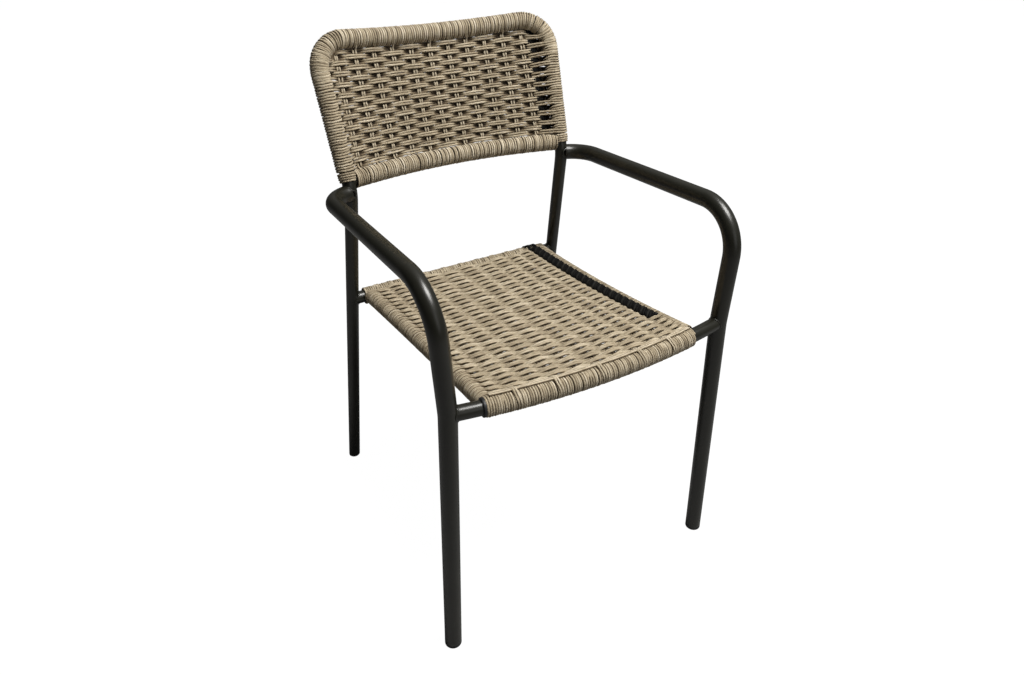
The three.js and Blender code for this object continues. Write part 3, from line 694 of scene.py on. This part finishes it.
# ---------- woven panels
class Panel:
    """Rows of doubled weft, over and under doubled warps, and round a rail at each side.

    point(x, row, depth) is a point of the sheet, depth counted to its visible side;
    column(index, row) is a warp's x; rails and station(side, row) give the side rails."""

    columns = 11
    STEP = 2.4                              # between a row's points
    SPREAD, REAR_SPREAD = 0.25, 0.30        # of the two strands of a row, in rows
    FRONT_R, REAR_R, RAIL_R = 2.1, 2.75, 2.15
    DROP, PINCH, PINCH_DEPTH = 0.0, 0.0, 1.3
    SWAY, OWN_SWAY, RAIL_SWAY = 0.045, 0.02, 0.06
    DEPTH_SWAY, OWN_DEPTH_SWAY = 0.1, 0.2
    SHEET_FROM, SHEET_OVER = 2.5, 4         # off the wrap: where its way out turns in to the sheet's
    CROSSING = 205, 130                     # degrees round a rail at which a strand starts to the next row, and takes
    TURN_AND_HALF = 540

    def __init__(self, line, face):
        """line is the right-hand rail's, and face its way to the viewer."""
        self.rails = {side: Rail(mirrored(line, side), face, side * X) for name, side in SIDES}

    def index_at(self, x, row):
        xs = np.array([self.column(i, row) for i in range(1, self.columns + 1)])
        return np.interp(x, xs, np.arange(1, self.columns + 1))

    def depth(self, k, index):
        wave = np.cos(math.pi * index) * (-1) ** (k + self.parity)
        shape = np.tanh(self.squareness * wave) / math.tanh(self.squareness)
        return np.where(shape > 0, self.rise, self.fall) * shape

    def row_points(self, k, strand, wobble):
        row = k + 0.5
        first, last = self.column(1, row), self.column(self.columns, row)
        x = np.linspace(first, last, int((last - first) / self.STEP))
        # primes times k shift the noise from row to row
        depth = self.depth(k, self.index_at(x, row)) * (1 + self.DEPTH_SWAY * wobble["depth"](x + 61 * k))
        spread = mix(self.SPREAD, self.REAR_SPREAD, self.behind(depth))
        spread = spread - self.PINCH * np.exp(-(depth / self.PINCH_DEPTH) ** 2)
        rows = (row + strand * spread + self.shear * depth / self.pitch
                + self.SWAY * wobble["row"](x + 97 * k) + self.OWN_SWAY * strand * wobble["own"](x + 41 * k))
        return x, rows, depth + strand * self.roll + self.OWN_DEPTH_SWAY * strand * wobble["own"](x + 17 * k)

    def contact(self, side, row, point, top):
        """How far before its top or bottom a strand from point touches the rail's wrap, in degrees."""
        centre, face, out = self.rails[side].frame(self.station(side, row))
        away = point - centre
        inward, height = -(away @ out), (away @ face) * (1 if top else -1)
        reach = math.hypot(inward, height)
        return math.degrees(math.atan2(inward, height) - math.acos(min(self.rail_radius / reach, 0.99)))

    def wrap(self, side, travel, row_from, row_to, strand, wobble):
        """Once and a half round a side rail. travel is in degrees from the face or the back."""
        start, over = self.CROSSING
        row = mix(row_from, row_to, smooth((travel - start) / over)) + self.SPREAD * strand
        row = row + self.RAIL_SWAY * wobble["wrap"](travel / 40 + row_from * 3.1 + side)
        degrees = travel if side > 0 else 180 - travel
        row = row + self.DROP * self.rail_radius * np.cos(np.radians(degrees)) / self.pitch
        radius = self.rail_radius + 0.15 * wobble["wrap"](travel / 55 + row_from * 1.7)
        return self.rails[side].around(self.station(side, row), degrees, radius)

    def weft(self, strand):
        """One of the two strands of the weft, from the first row to the last, and its tones."""
        wobble = {name: Wander(*waves) for name, waves in (
            ("depth", (53, 97, 31)), ("row", (71, 131, 47)), ("own", (37, 61, 89)), ("wrap", (2.3, 5.1, 7.7)))}
        tone = Wander(1.9, 3.3, 7.9)
        pieces, tones = [], []

        def put(points, base):
            pieces.append(points)
            tones.append(base)

        for k in range(self.rows):
            row = k + 0.5
            # even rows run from the left-hand rail's face to the right, odd ones back behind
            side, top = (-1, True) if k % 2 == 0 else (1, False)
            sheet = self.point(*self.row_points(k, strand, wobble))[::-side]
            begin, row_from, count = (240, row, 28) if k == 0 else (500, row - 1, 8)
            leave = self.TURN_AND_HALF + self.contact(side, row, sheet[0], top)
            arc = self.wrap(side, np.linspace(begin, leave, count), row_from, row, strand, wobble)
            put(arc, 0.5)
            put(bridge(arc, sheet), 0.5 + 0.12 * tone(k))
            put(sheet, 0.47 + 0.17 * tone(k * 1.37 + 5 * strand) + 0.10 * wobble["own"](np.arange(len(sheet)) * 3.0))
            enter = -self.contact(-side, row, sheet[-1], top)
            stop, row_to = (400, row) if k + 1 == self.rows else (499, row + 1)
            arc = self.wrap(-side, np.linspace(enter, stop, 38), row, row_to, strand, wobble)
            put(bridge(sheet, arc), 0.5 + 0.12 * tone(row))
            put(arc, 0.5 + 0.2 * tone(k * 2.1 + np.linspace(0, 1, len(arc))))
        return pieces, tones

    def weave(self, name, strands, nodes):
        builder = Builder()
        for strand in strands:
            line, tone = clean_line(*self.weft(strand))
            builder.strand(line, self.thickness(line), tone, self.field)
        builder.build(name, nodes)

    def warp(self, index, offset, row_from, row_to):
        """A warp strand on the sheet: over the rows that lie back at its column, and under the others."""
        rows = np.arange(row_from, row_to, 0.25)
        wave = np.cos(math.pi * (rows - 0.5)) * math.cos(math.pi * index) * (-1) ** self.parity
        x = self.column(index, rows) + offset + 0.6 * Wander(9.0, 5.0)(rows)
        return self.point(x, rows, self.warp_sink - self.warp_lift * wave)

    def field(self, points, rails=None):
        """The way out of the rope work: off the rail beside it, or off the sheet between the rails; with it go the
        depth and the settings of the painted shade in crevices and recesses.
        """
        away, distance = zip(*(rail.away(points) for rail in (rails or self.rails.values())))
        nearest = np.argmin(distance, axis=0)
        here = np.arange(len(points))
        away, distance = np.array(away)[nearest, here], np.array(distance)[nearest, here]
        share = smooth((distance - self.rail_radius - self.SHEET_FROM) / self.SHEET_OVER)
        outward = unit(mix(away, self.normal, share[:, None]) + 1e-9)
        return outward, self.depth_of(points), share, self.recess, self.groove

    def behind(self, depth):
        """1 for a strand that passes behind the others, 0 for one in front."""
        return smooth((1.5 - depth) / 4)

    def thickness(self, points):
        distance = np.min([rail.away(points)[1] for rail in self.rails.values()], axis=0)
        sheet = mix(self.FRONT_R, self.REAR_R, self.behind(self.depth_of(points)))
        return mix(self.RAIL_R, sheet, smooth((distance - self.rail_radius - 0.5) / 5))


# ---------- the back
BACK_BASE = vec(0, POST_BEND[1], POST_BEND[2])
LOWER_S = (LOWER_END - POST_BEND) @ AXIS
TOP_S = RUN @ AXIS
EDGE = CROSS_R + 2 * STRAND_R + 0.2


class Back(Panel):
    COLUMNS = (-177.7, -143.8, -110.0, -76.2, -42.4, -8.6, 25.3, 59.1, 92.9, 126.7, 160.6)
    rows, parity = 22, 0
    pitch, rise, fall, squareness, shear, roll = 8.2, 3.2, 3.0, 1.35, 0.02, 0.0
    # depths over which the painted shade of recesses fades out, and how far a face must turn out to leave the painted
    # shade between strands
    recess, groove = (-1.5, 3.2), 0.05
    warp_lift, warp_sink = 1.1, 0.0
    DROP, PINCH, SWAY = -0.05, 0.07, 0.035
    rail_radius = HOOP_R + STRAND_R + 0.1
    normal = -BEHIND

    def column(self, index, row):
        return self.COLUMNS[index - 1]

    def height(self, x, row):
        low = LOWER_S + LOWER_RISE * belly(x, LOWER_END[0]) + EDGE
        high = TOP_S - TOP_DIP * belly(x, TOP_CORNER[0]) - EDGE
        return mix(low, high, row / self.rows)

    def bow(self, x, height):
        share = (height - LOWER_S) / (TOP_S - LOWER_S)
        return mix(LOWER_BOW * belly(x, LOWER_END[0]), TOP_BOW * belly(x, TOP_CORNER[0]), share)

    def point(self, x, row, depth):
        height = self.height(x, row)
        return (BACK_BASE + x[..., None] * X + height[..., None] * AXIS
                + (self.bow(x, height) - depth)[..., None] * BEHIND)

    def depth_of(self, points):
        from_base = points - BACK_BASE
        return self.bow(points[:, 0], from_base @ AXIS) - from_base @ BEHIND

    def at_height(self, side, height):
        rail = self.rails[side]
        return np.interp(height, (rail.points - BACK_BASE) @ AXIS, rail.lengths)

    def station(self, side, row):
        return self.at_height(side, self.height(TOP_CORNER[0] - 4.0, row))


back = Back(joined(post_arc, upright_end[None], corner_arc), -BEHIND)
back.weave("back_weft", (-1, 1), ["back_weave", "back_winding_left", "back_winding_right"])

# Painted shade beside the right-hand rail: black strands go up and down behind the rows that come to the front there,
# and stand for the shade and the black tube seen in the gaps between those rows
DARK_FIRST_X, DARK_STEP, DARK_COUNT, DARK_R = 169.0, 3.9, 5, 2.7
DARK_DEPTH, DARK_LIFT = -0.6, 1.5
dark = Builder()
for i in range(DARK_COUNT):
    rows = np.arange(-0.2, back.rows + 0.2, 0.25)
    x = DARK_FIRST_X + DARK_STEP * i + 0.4 * Wander(7.0, 4.0)(rows)
    line = back.point(x, rows, DARK_DEPTH - DARK_LIFT * np.cos(math.pi * (rows - 0.5)))
    dark.strand(line, DARK_R, 0.35 + 0.2 * Wander(3.0, 5.0)(rows), back.field)
dark.build("back_side_shade_strands", ["back_weave"], "black_rope")

# Top rail with its corners, and the lower rail: turns between the warps, each run ending in two of them
top_wrap = Rail(joined(mirrored(corner_arc, -1), top_rail_point(np.linspace(-top_run_x, top_run_x, 60)),
                       corner_arc[::-1]), -BEHIND, AXIS)
lower_wrap = Rail(lower_rail_point(np.linspace(-LOWER_END[0], LOWER_END[0], 80)), -BEHIND, -AXIS)
PAIR, RUN_INSET, HOOK = 2.1, 2.3, 50
WARP_LIGHTER = 0.08


def back_field(points):
    return back.field(points, [top_wrap, lower_wrap])


def wound_run(builder, rail, start, end, first, last, before=None, after=None, tone=0.5, lean=0.0):
    """Turns on a rail that may start out of one warp and end in another."""
    points, turn = turns(rail, start, end, first, last, WRAP_R, lean)
    wound = tone_along(turn, tone)
    pieces = [points] if before is None else [before, bridge(before, points), points]
    if after is not None:
        pieces += [bridge(points, after), after]
    line, shade = clean_line(pieces, [wound if piece is points else tone + WARP_LIGHTER for piece in pieces])
    builder.strand(line, TURN_R, shade, back_field)


def full_turn(builder, rail, at, tone, radius=WRAP_R, slant=0.0):
    """One closed turn that leans a little."""
    angle = np.linspace(0, 360, STEPS_A_TURN + 1)[:-1]
    tilt = 0.35 * np.sin(np.radians(angle + rng.uniform(0, 360))) + slant * np.cos(np.radians(angle))
    builder.strand(rail.around(at + tilt, rail.sign * angle, radius), TURN_R, tone, rail.field, closed=True)


top_turns, lower_turns = Builder(), Builder()
half = back.rows / 2
upper_warps, lower_warps = {}, {}
for i in range(1, 12):
    for offset in (-PAIR, PAIR):
        upper_warps[i, offset] = back.warp(i, offset, half, back.rows - 0.35)
        lower_warps[i, offset] = back.warp(i, offset, 0.35, half + 0.26)[::-1]
upright_x = back.rails[-1].frame(back.station(1, 22.0))[0][0]

# The turns between two warps start out of the one and end in the other; a single turn lies at each warp
for rail, builder, warps, flipped, left_end, lean, slant in (
        (top_wrap, top_turns, upper_warps, False, top_wrap.at_x(upright_x), 0.6, -0.9),
        (lower_wrap, lower_turns, lower_warps, True, HOOP_R - 1.5, 1.3, 0.9)):
    def on_rail(angle):
        """The lower rail's turns start and end at the other side of the rail than the top rail's."""
        return 180 - angle if flipped else angle

    places = [rail.at_x(x) for x in Back.COLUMNS]
    for i in range(1, 11):
        left, right = places[i - 1] + RUN_INSET, places[i] - RUN_INSET
        passes = int(round((right - left) / TURN_PITCH))
        wound_run(builder, rail, left, right, on_rail(-HOOK), on_rail((passes - 1) * 360 + 180 + HOOK),
                  warps[i, PAIR], warps[i + 1, -PAIR][::-1], 0.6, lean)
    for place in places:
        full_turn(builder, rail, place, 0.5 + 0.2 * either(), slant=slant)
    # the outer warps lead in to the turns that go on to the end of the wrap
    left, right, right_end = places[0] - RUN_INSET, places[-1] + RUN_INSET, rail.length - left_end
    passes = int(round((left - left_end) / TURN_PITCH))
    wound_run(builder, rail, left_end, left, on_rail(180 + HOOK - passes * 360), on_rail(180 + HOOK),
              after=warps[1, -PAIR][::-1])
    passes = int(round((right_end - right) / TURN_PITCH))
    wound_run(builder, rail, right, right_end, on_rail(-HOOK), on_rail(passes * 360 - HOOK), warps[11, PAIR])

# Turns that close the fan of the weft on the corners
for name, side in SIDES:
    for row in np.arange(16.5, 22.6, 0.5):
        full_turn(top_turns, back.rails[side], back.station(side, row), 0.45 + 0.2 * either(), WRAP_R - 0.15)

top_turns.build("back_top_wrap_and_warps", ["back_winding_top"])
lower_turns.build("back_lower_wrap_and_warps", ["back_winding_lower"])

# The foot of each upright's wrap: turns that the lower rail parts, the lowest ones the tightest
FOOT_PITCH, FOOT_TIGHTER = 3.8, (1.1, 0.4, 0.0)
for name, side in SIDES:
    foot = Builder()
    first, last = back.at_height(side, (on_upright(WRAP_ABOVE_ARC) - BACK_BASE) @ AXIS), back.station(side, 0.0)
    count = int(round((last - first) / FOOT_PITCH))
    for i, at in enumerate(first + STRAND_R + np.arange(count) * (last - first - STRAND_R) / count):
        open_turn(foot, back.rails[side], at, (-62, 242), WRAP_R - FOOT_TIGHTER[min(i, 2)], 0.15, 0.18)
    foot.build(f"back_corner_turns_{name}", [f"back_corner_wrap_{name}"])

# ---------- the seat
# The black whipping round the right-hand warp: its front end, the warp's x there, and its size
LACING_Y, LACING_X = -186, 164.0
LACING_HALF_WIDTH, LACING_HALF_HEIGHT, LACING_LIFT, LACING_MIDDLE = 8.0, 4.3, 1.6, 0.8
LACING_R = 2.65


class Seat(Panel):
    FRONT_X = (-166, -134, -101.5, -68.5, -33, 3.8, 38, 72, 103.5, 134, 166)
    REAR_X = (-162.5, -137.5, -100.5, -66.5, -28.5, 7.5, 42.8, 76, 109.3, 136.8, 162)
    WAIST = 0.026
    SPREAD = 0.21
    FRONT_R, REAR_R, RAIL_R = 2.15, 2.8, 1.85
    rows, parity = 54, 1
    pitch, rise, fall, squareness, shear, roll = 7.6, 4.5, 2.5, 0.95, -0.5, 0.4
    # depths over which the painted shade of recesses fades out, and how far a face must turn out to leave the painted
    # shade between strands
    recess, groove = (-2.4, 1.5), -1.6
    warp_lift, warp_sink = 0.6, -0.7
    rail_radius = SIDE_R + STRAND_R + 0.1
    front_y = float(seat_front_point(0.0)[1]) + EDGE
    rear_y = seat_rear_end[1] - CROSS_R - STRAND_R
    normal = unit(vec(0, -(side_rear[2] - side_front[2]) / (side_rear[1] - side_front[1]), 1))

    def row_points(self, k, strand, wobble):
        x, rows, depth = super().row_points(k, strand, wobble)
        # the black strand holds the rows down at the right-hand warp
        pressed = smooth((x - self.column(11, k + 0.5) + 15) / 7) * smooth(k - self.row_at(LACING_Y) + 0.5)
        return x, rows, mix(depth, -1.2 + 0.2 * depth, pressed)

    def y_at(self, x, row):
        bow = SEAT_FRONT_BOW * (x / KNEE[0]) ** 2
        return mix(self.front_y, self.rear_y, row / self.rows) + bow * np.exp(-row / 5.0)

    def row_at(self, y):
        """The row that passes y at the right-hand warp."""
        rows = np.linspace(0, self.rows, 2000)
        return np.interp(y, self.y_at(LACING_X, rows), rows)

    def side_z(self, y):
        return side_rail_point((y - side_front[1]) / (side_rear[1] - side_front[1]))[..., 2]

    def column(self, index, row):
        share = row / self.rows
        waist = 1 - self.WAIST * 4 * share * (1 - share)
        return mix(self.FRONT_X[index - 1], self.REAR_X[index - 1], share) * waist

    def point(self, x, row, depth):
        y = self.y_at(x, row)
        return np.stack([x, y, self.side_z(y) + SEAT_RISE], -1) + depth[..., None] * self.normal

    def depth_of(self, points):
        return (points[:, 2] - self.side_z(points[:, 1]) - SEAT_RISE) * self.normal[2]

    def station(self, side, row):
        rail = self.rails[side]
        return np.interp(self.y_at(SIDE_X, row), rail.points[:, 1], rail.lengths)


seat = Seat(side_rail_point(np.linspace(0, 1, 90)), UP)
# One piece for each strand, because the export thins a larger mesh
for name, strand in (("first", -1), ("second", 1)):
    seat.weave(f"seat_weft_{name}", [strand], ["seat_weave", "seat_winding_left", "seat_winding_right"])

wrap_span = np.linspace(-WRAP_HALF_WIDTH, WRAP_HALF_WIDTH, 80)
front_wrap = Rail(seat_front_point(wrap_span), UP, vec(0, -1, 0))
rear_wrap = Rail(seat_rear_point(wrap_span), UP, vec(0, 1, 0))
front_turns, rear_turns = Builder(), Builder()
inner = SIDE_X - SIDE_R - 2.5
for rail, builder, further in ((front_wrap, front_turns, 1.5), (rear_wrap, rear_turns, 0)):
    start, end = rail.at_x(-inner), rail.at_x(inner + further)
    count = int(round((end - start) / TURN_PITCH))
    line, turn = turns(rail, start, end, 0, count * 360, WRAP_R, 0.7)
    builder.strand(line, STRAND_R, tone_along(turn, 0.5, 0.25), rail.field)
front_turns.build("seat_front_wrap", ["seat_winding_front"])

# At the corners turns close the gap to the end of the wrap
stretch = WRAP_HALF_WIDTH - inner - STRAND_R
count = int(round(stretch / TURN_PITCH))
for place, name, side, rail in (("front", "left", -1, front_wrap), ("rear", "left", -1, rear_wrap),
                                ("rear", "right", 1, rear_wrap)):
    corner = Builder()
    for n in range(count + 1):
        at = rail.at_x(side * (inner + 2.0 + n * stretch / count))
        open_turn(corner, rail, at, (-50, 230), WRAP_R, 0.3, 0.2)
    corner.build(f"seat_corner_turns_{place}_{name}", [f"seat_corner_wrap_{place}_{name}"])

# Warps: round the rear rail, and at the front every second one goes over the doubled strand, at these x
OVER = {2: -144.0, 4: -81.5, 6: -11.5, 8: 61.0, 10: 119.5}
BINDING_TURN, BINDING_SPREAD, BINDING_R = 11, 5.8, 1.9


def seat_field(points):
    outward, depth, share, recess, groove = seat.field(points, [front_wrap, rear_wrap])
    # the warps get painted shade unless they lie high above the sheet
    return outward, depth, share, (0.0, 4.2), groove


warps = Builder()
for i in range(1, 12):
    for offset in (-PAIR, PAIR):
        sheet = seat.warp(i, offset, 1.1 if i in OVER else 0.6, seat.rows - 0.4)
        at = rear_wrap.at_x(seat.column(i, seat.rows) + offset)
        loop = rear_wrap.around(at, np.linspace(-40, 250, 30), WRAP_R + 0.8)
        if i in OVER:
            at = front_wrap.at_x(OVER[i] + offset * 0.95)
            angle = np.linspace(135, -38, 30)
            # off the wrap over the doubled strand, and more so on the way to the sheet
            hump = 1.6 * smooth((110 - angle) / 50) + 2.6 * smooth((28 - angle) / 30)
            nose = front_wrap.around(at + 0.035 * (angle - 40), angle, WRAP_R - 0.3 + hump)
        else:
            at = front_wrap.at_x(seat.column(i, 0.0) + offset)
            nose = front_wrap.around(at, np.linspace(40, -60, 12), WRAP_R - 0.5)
        pieces = [nose, bridge(nose, sheet), sheet, bridge(sheet, loop), loop]
        line, tone = clean_line(pieces, [0.55 + 0.15 * either()] * len(pieces))
        warps.strand(line, STRAND_R, tone, seat_field)
warps.build("seat_warps", [])

# The doubled strand along the front, between the wrap and the five warps
binding = Builder()
for spread in (-BINDING_SPREAD, BINDING_SPREAD):
    xs = np.linspace(-180, 165.5, 150)
    sway = Wander(60, 37, 110)
    angle = -BINDING_TURN + spread + 1.2 * sway(xs)
    line = front_wrap.around(front_wrap.at_x(xs), angle, WRAP_R + 2 * STRAND_R - 0.5)
    binding.strand(line, BINDING_R, 0.75 + 0.1 * sway(xs * 1.7), front_wrap.field)
binding.build("front_edge_strands", ["front_edge_binding"])


def lacing_field(points):
    """The way out from the middle of the black whipping, for the painted shade in its crevices."""
    middle = seat.column(11, seat.row_at(points[:, 1])) + LACING_MIDDLE
    across = (points[:, 0] - middle) / LACING_HALF_WIDTH ** 2
    high = (seat.depth_of(points) - LACING_LIFT) / LACING_HALF_HEIGHT ** 2
    return off_rail(unit(across[:, None] * X + high[:, None] * seat.normal))


# Black strand whipped round the right-hand warp, and round the rear rail at its end. Three strands side by
# side make each turn, two rows apart; the middle one stands out.
lacing = Builder()
first_row, last_row = float(seat.row_at(LACING_Y)), seat.rows - 0.2
# Painted light and shade: the strand that stands out furthest is painted lightest, the lowest one darkest
for strand, stands, shade in ((0, 0.9, 0.9), (1 / 3, 0.1, 0.45), (2 / 3, -0.6, 0.1)):
    row = np.linspace(first_row, last_row, int((last_row - first_row) * 12))
    angle = 2 * math.pi * ((row - first_row) / 2 + strand)
    sway = Wander(3.1, 5.7, 9.3)
    x = seat.column(11, row) + LACING_MIDDLE + (LACING_HALF_WIDTH + 0.6 * stands) * np.sin(angle)
    depth = LACING_LIFT + (LACING_HALF_HEIGHT + stands + 0.2 * sway(row)) * np.cos(angle)
    line = seat.point(x, row + 0.3 * np.sin(angle), depth)
    lacing.strand(line, LACING_R, shade + 0.1 * sway(row * 1.9), lacing_field)
line, turn = turns(rear_wrap, rear_wrap.at_x(149.5), rear_wrap.at_x(173.0), 0, 360 * 5.6, WRAP_R + 2.4)
lacing.strand(line, STRAND_R, tone_along(turn), rear_wrap.field)
lacing.build("seat_side_lacing", ["seat_lacing_black"], "black_rope")
rear_turns.build("seat_rear_wrap", ["seat_winding_rear"])

# ---------- stage, light, camera
# The floor is lit by the lamps, and glows for the camera so that it goes over in to the white behind it
nodes, shader = new_material("studio_floor")
nodes.feed(shader, {"Base Color": (0.3, 0.3, 0.3), "Roughness": 0.9, "Specular IOR Level": 0.1})
glow = nodes.add("Emission", {"Color": WHITE, "Strength": 1.3})[0]
seen = nodes.math("MULTIPLY", nodes.add("LightPath")["Is Camera Ray"], 0.76)
surface = nodes.add("MixShader", {0: seen, 1: shader.outputs[0], 2: glow})[0]
nodes.feed(nodes.tree.nodes["Material Output"], {"Surface": surface})
bpy.ops.mesh.primitive_circle_add(vertices=96, radius=30, fill_type="NGON", location=(0, 0, 0))
floor = bpy.context.object
floor.name = "studio_floor_disc"
floor.data.materials.append(MATERIALS["studio_floor"])

# The sky is dark below and to the left, for the reflections, and white for the camera
world = bpy.data.worlds.new("studio")
bpy.context.scene.world = world
world.use_nodes = True
nodes = Nodes(world.node_tree)
direction = nodes.add("SeparateXYZ", {0: nodes.add("TexCoord")["Generated"]})
sky = nodes.ramp(direction["Z"], (0.0, (0.25, 0.25, 0.24)), (0.4, (0.5, 0.495, 0.48)), (1.0, (1.3, 1.29, 1.26)))
from_side = nodes.ramp(nodes.scaled(direction["X"], 0.5, 0.5), (0.3, (0.2, 0.2, 0.2)), (0.7, WHITE))
sky = nodes.blend("MULTIPLY", 1.0, sky, from_side)
sky = nodes.blend("MIX", nodes.add("LightPath")["Is Camera Ray"], sky, (2.5, 2.5, 2.5))
nodes.feed(nodes.tree.nodes["Background"], {"Color": sky, "Strength": 0.42})


def area_light(name, place, size, power, colour):
    """A square lamp that faces the middle of the chair."""
    data = bpy.data.lights.new(name, "AREA")
    data.shape = "RECTANGLE"
    data.size = data.size_y = size
    data.energy = power
    data.color = colour
    light = bpy.data.objects.new(name, data)
    light.location = place
    light.rotation_euler = (Vector((0, 0, 0.5)) - Vector(place)).to_track_quat("-Z", "Y").to_euler()
    bpy.context.scene.collection.objects.link(light)


area_light("key", (0.75, -0.75, 2.9), 1.15, 96, (1.0, 0.985, 0.955))
area_light("fill", (0.4, -2.6, 1.5), 1.4, 4, (0.97, 0.98, 1.0))

# The camera was solved from the photo together with the frame's main points
CAMERA_AT = Vector((-0.5729, -0.9810 + float(shift[1]), 1.0707))
YAW, PITCH, ROLL = 0.5336, -0.5599, 0.0048
FOCAL_PIXELS, IMAGE_WIDTH, SENSOR = 767.4, 1024, 36
camera_data = bpy.data.cameras.new("camera")
camera_data.sensor_fit = "HORIZONTAL"
camera_data.sensor_width = SENSOR
camera_data.lens = FOCAL_PIXELS / IMAGE_WIDTH * SENSOR
camera = bpy.data.objects.new("camera", camera_data)
forward = Vector((math.sin(YAW) * math.cos(PITCH), math.cos(YAW) * math.cos(PITCH), math.sin(PITCH)))
level = Vector((math.cos(YAW), -math.sin(YAW), 0))
above = level.cross(forward)
right = level * math.cos(ROLL) + above * math.sin(ROLL)
top = -level * math.sin(ROLL) + above * math.cos(ROLL)
camera.matrix_world = Matrix.Translation(CAMERA_AT) @ Matrix((right, top, -forward)).transposed().to_4x4()
bpy.context.scene.collection.objects.link(camera)
bpy.context.scene.camera = camera

bpy.context.scene.view_settings.view_transform = "Standard"


bpy.context.view_layer.update()
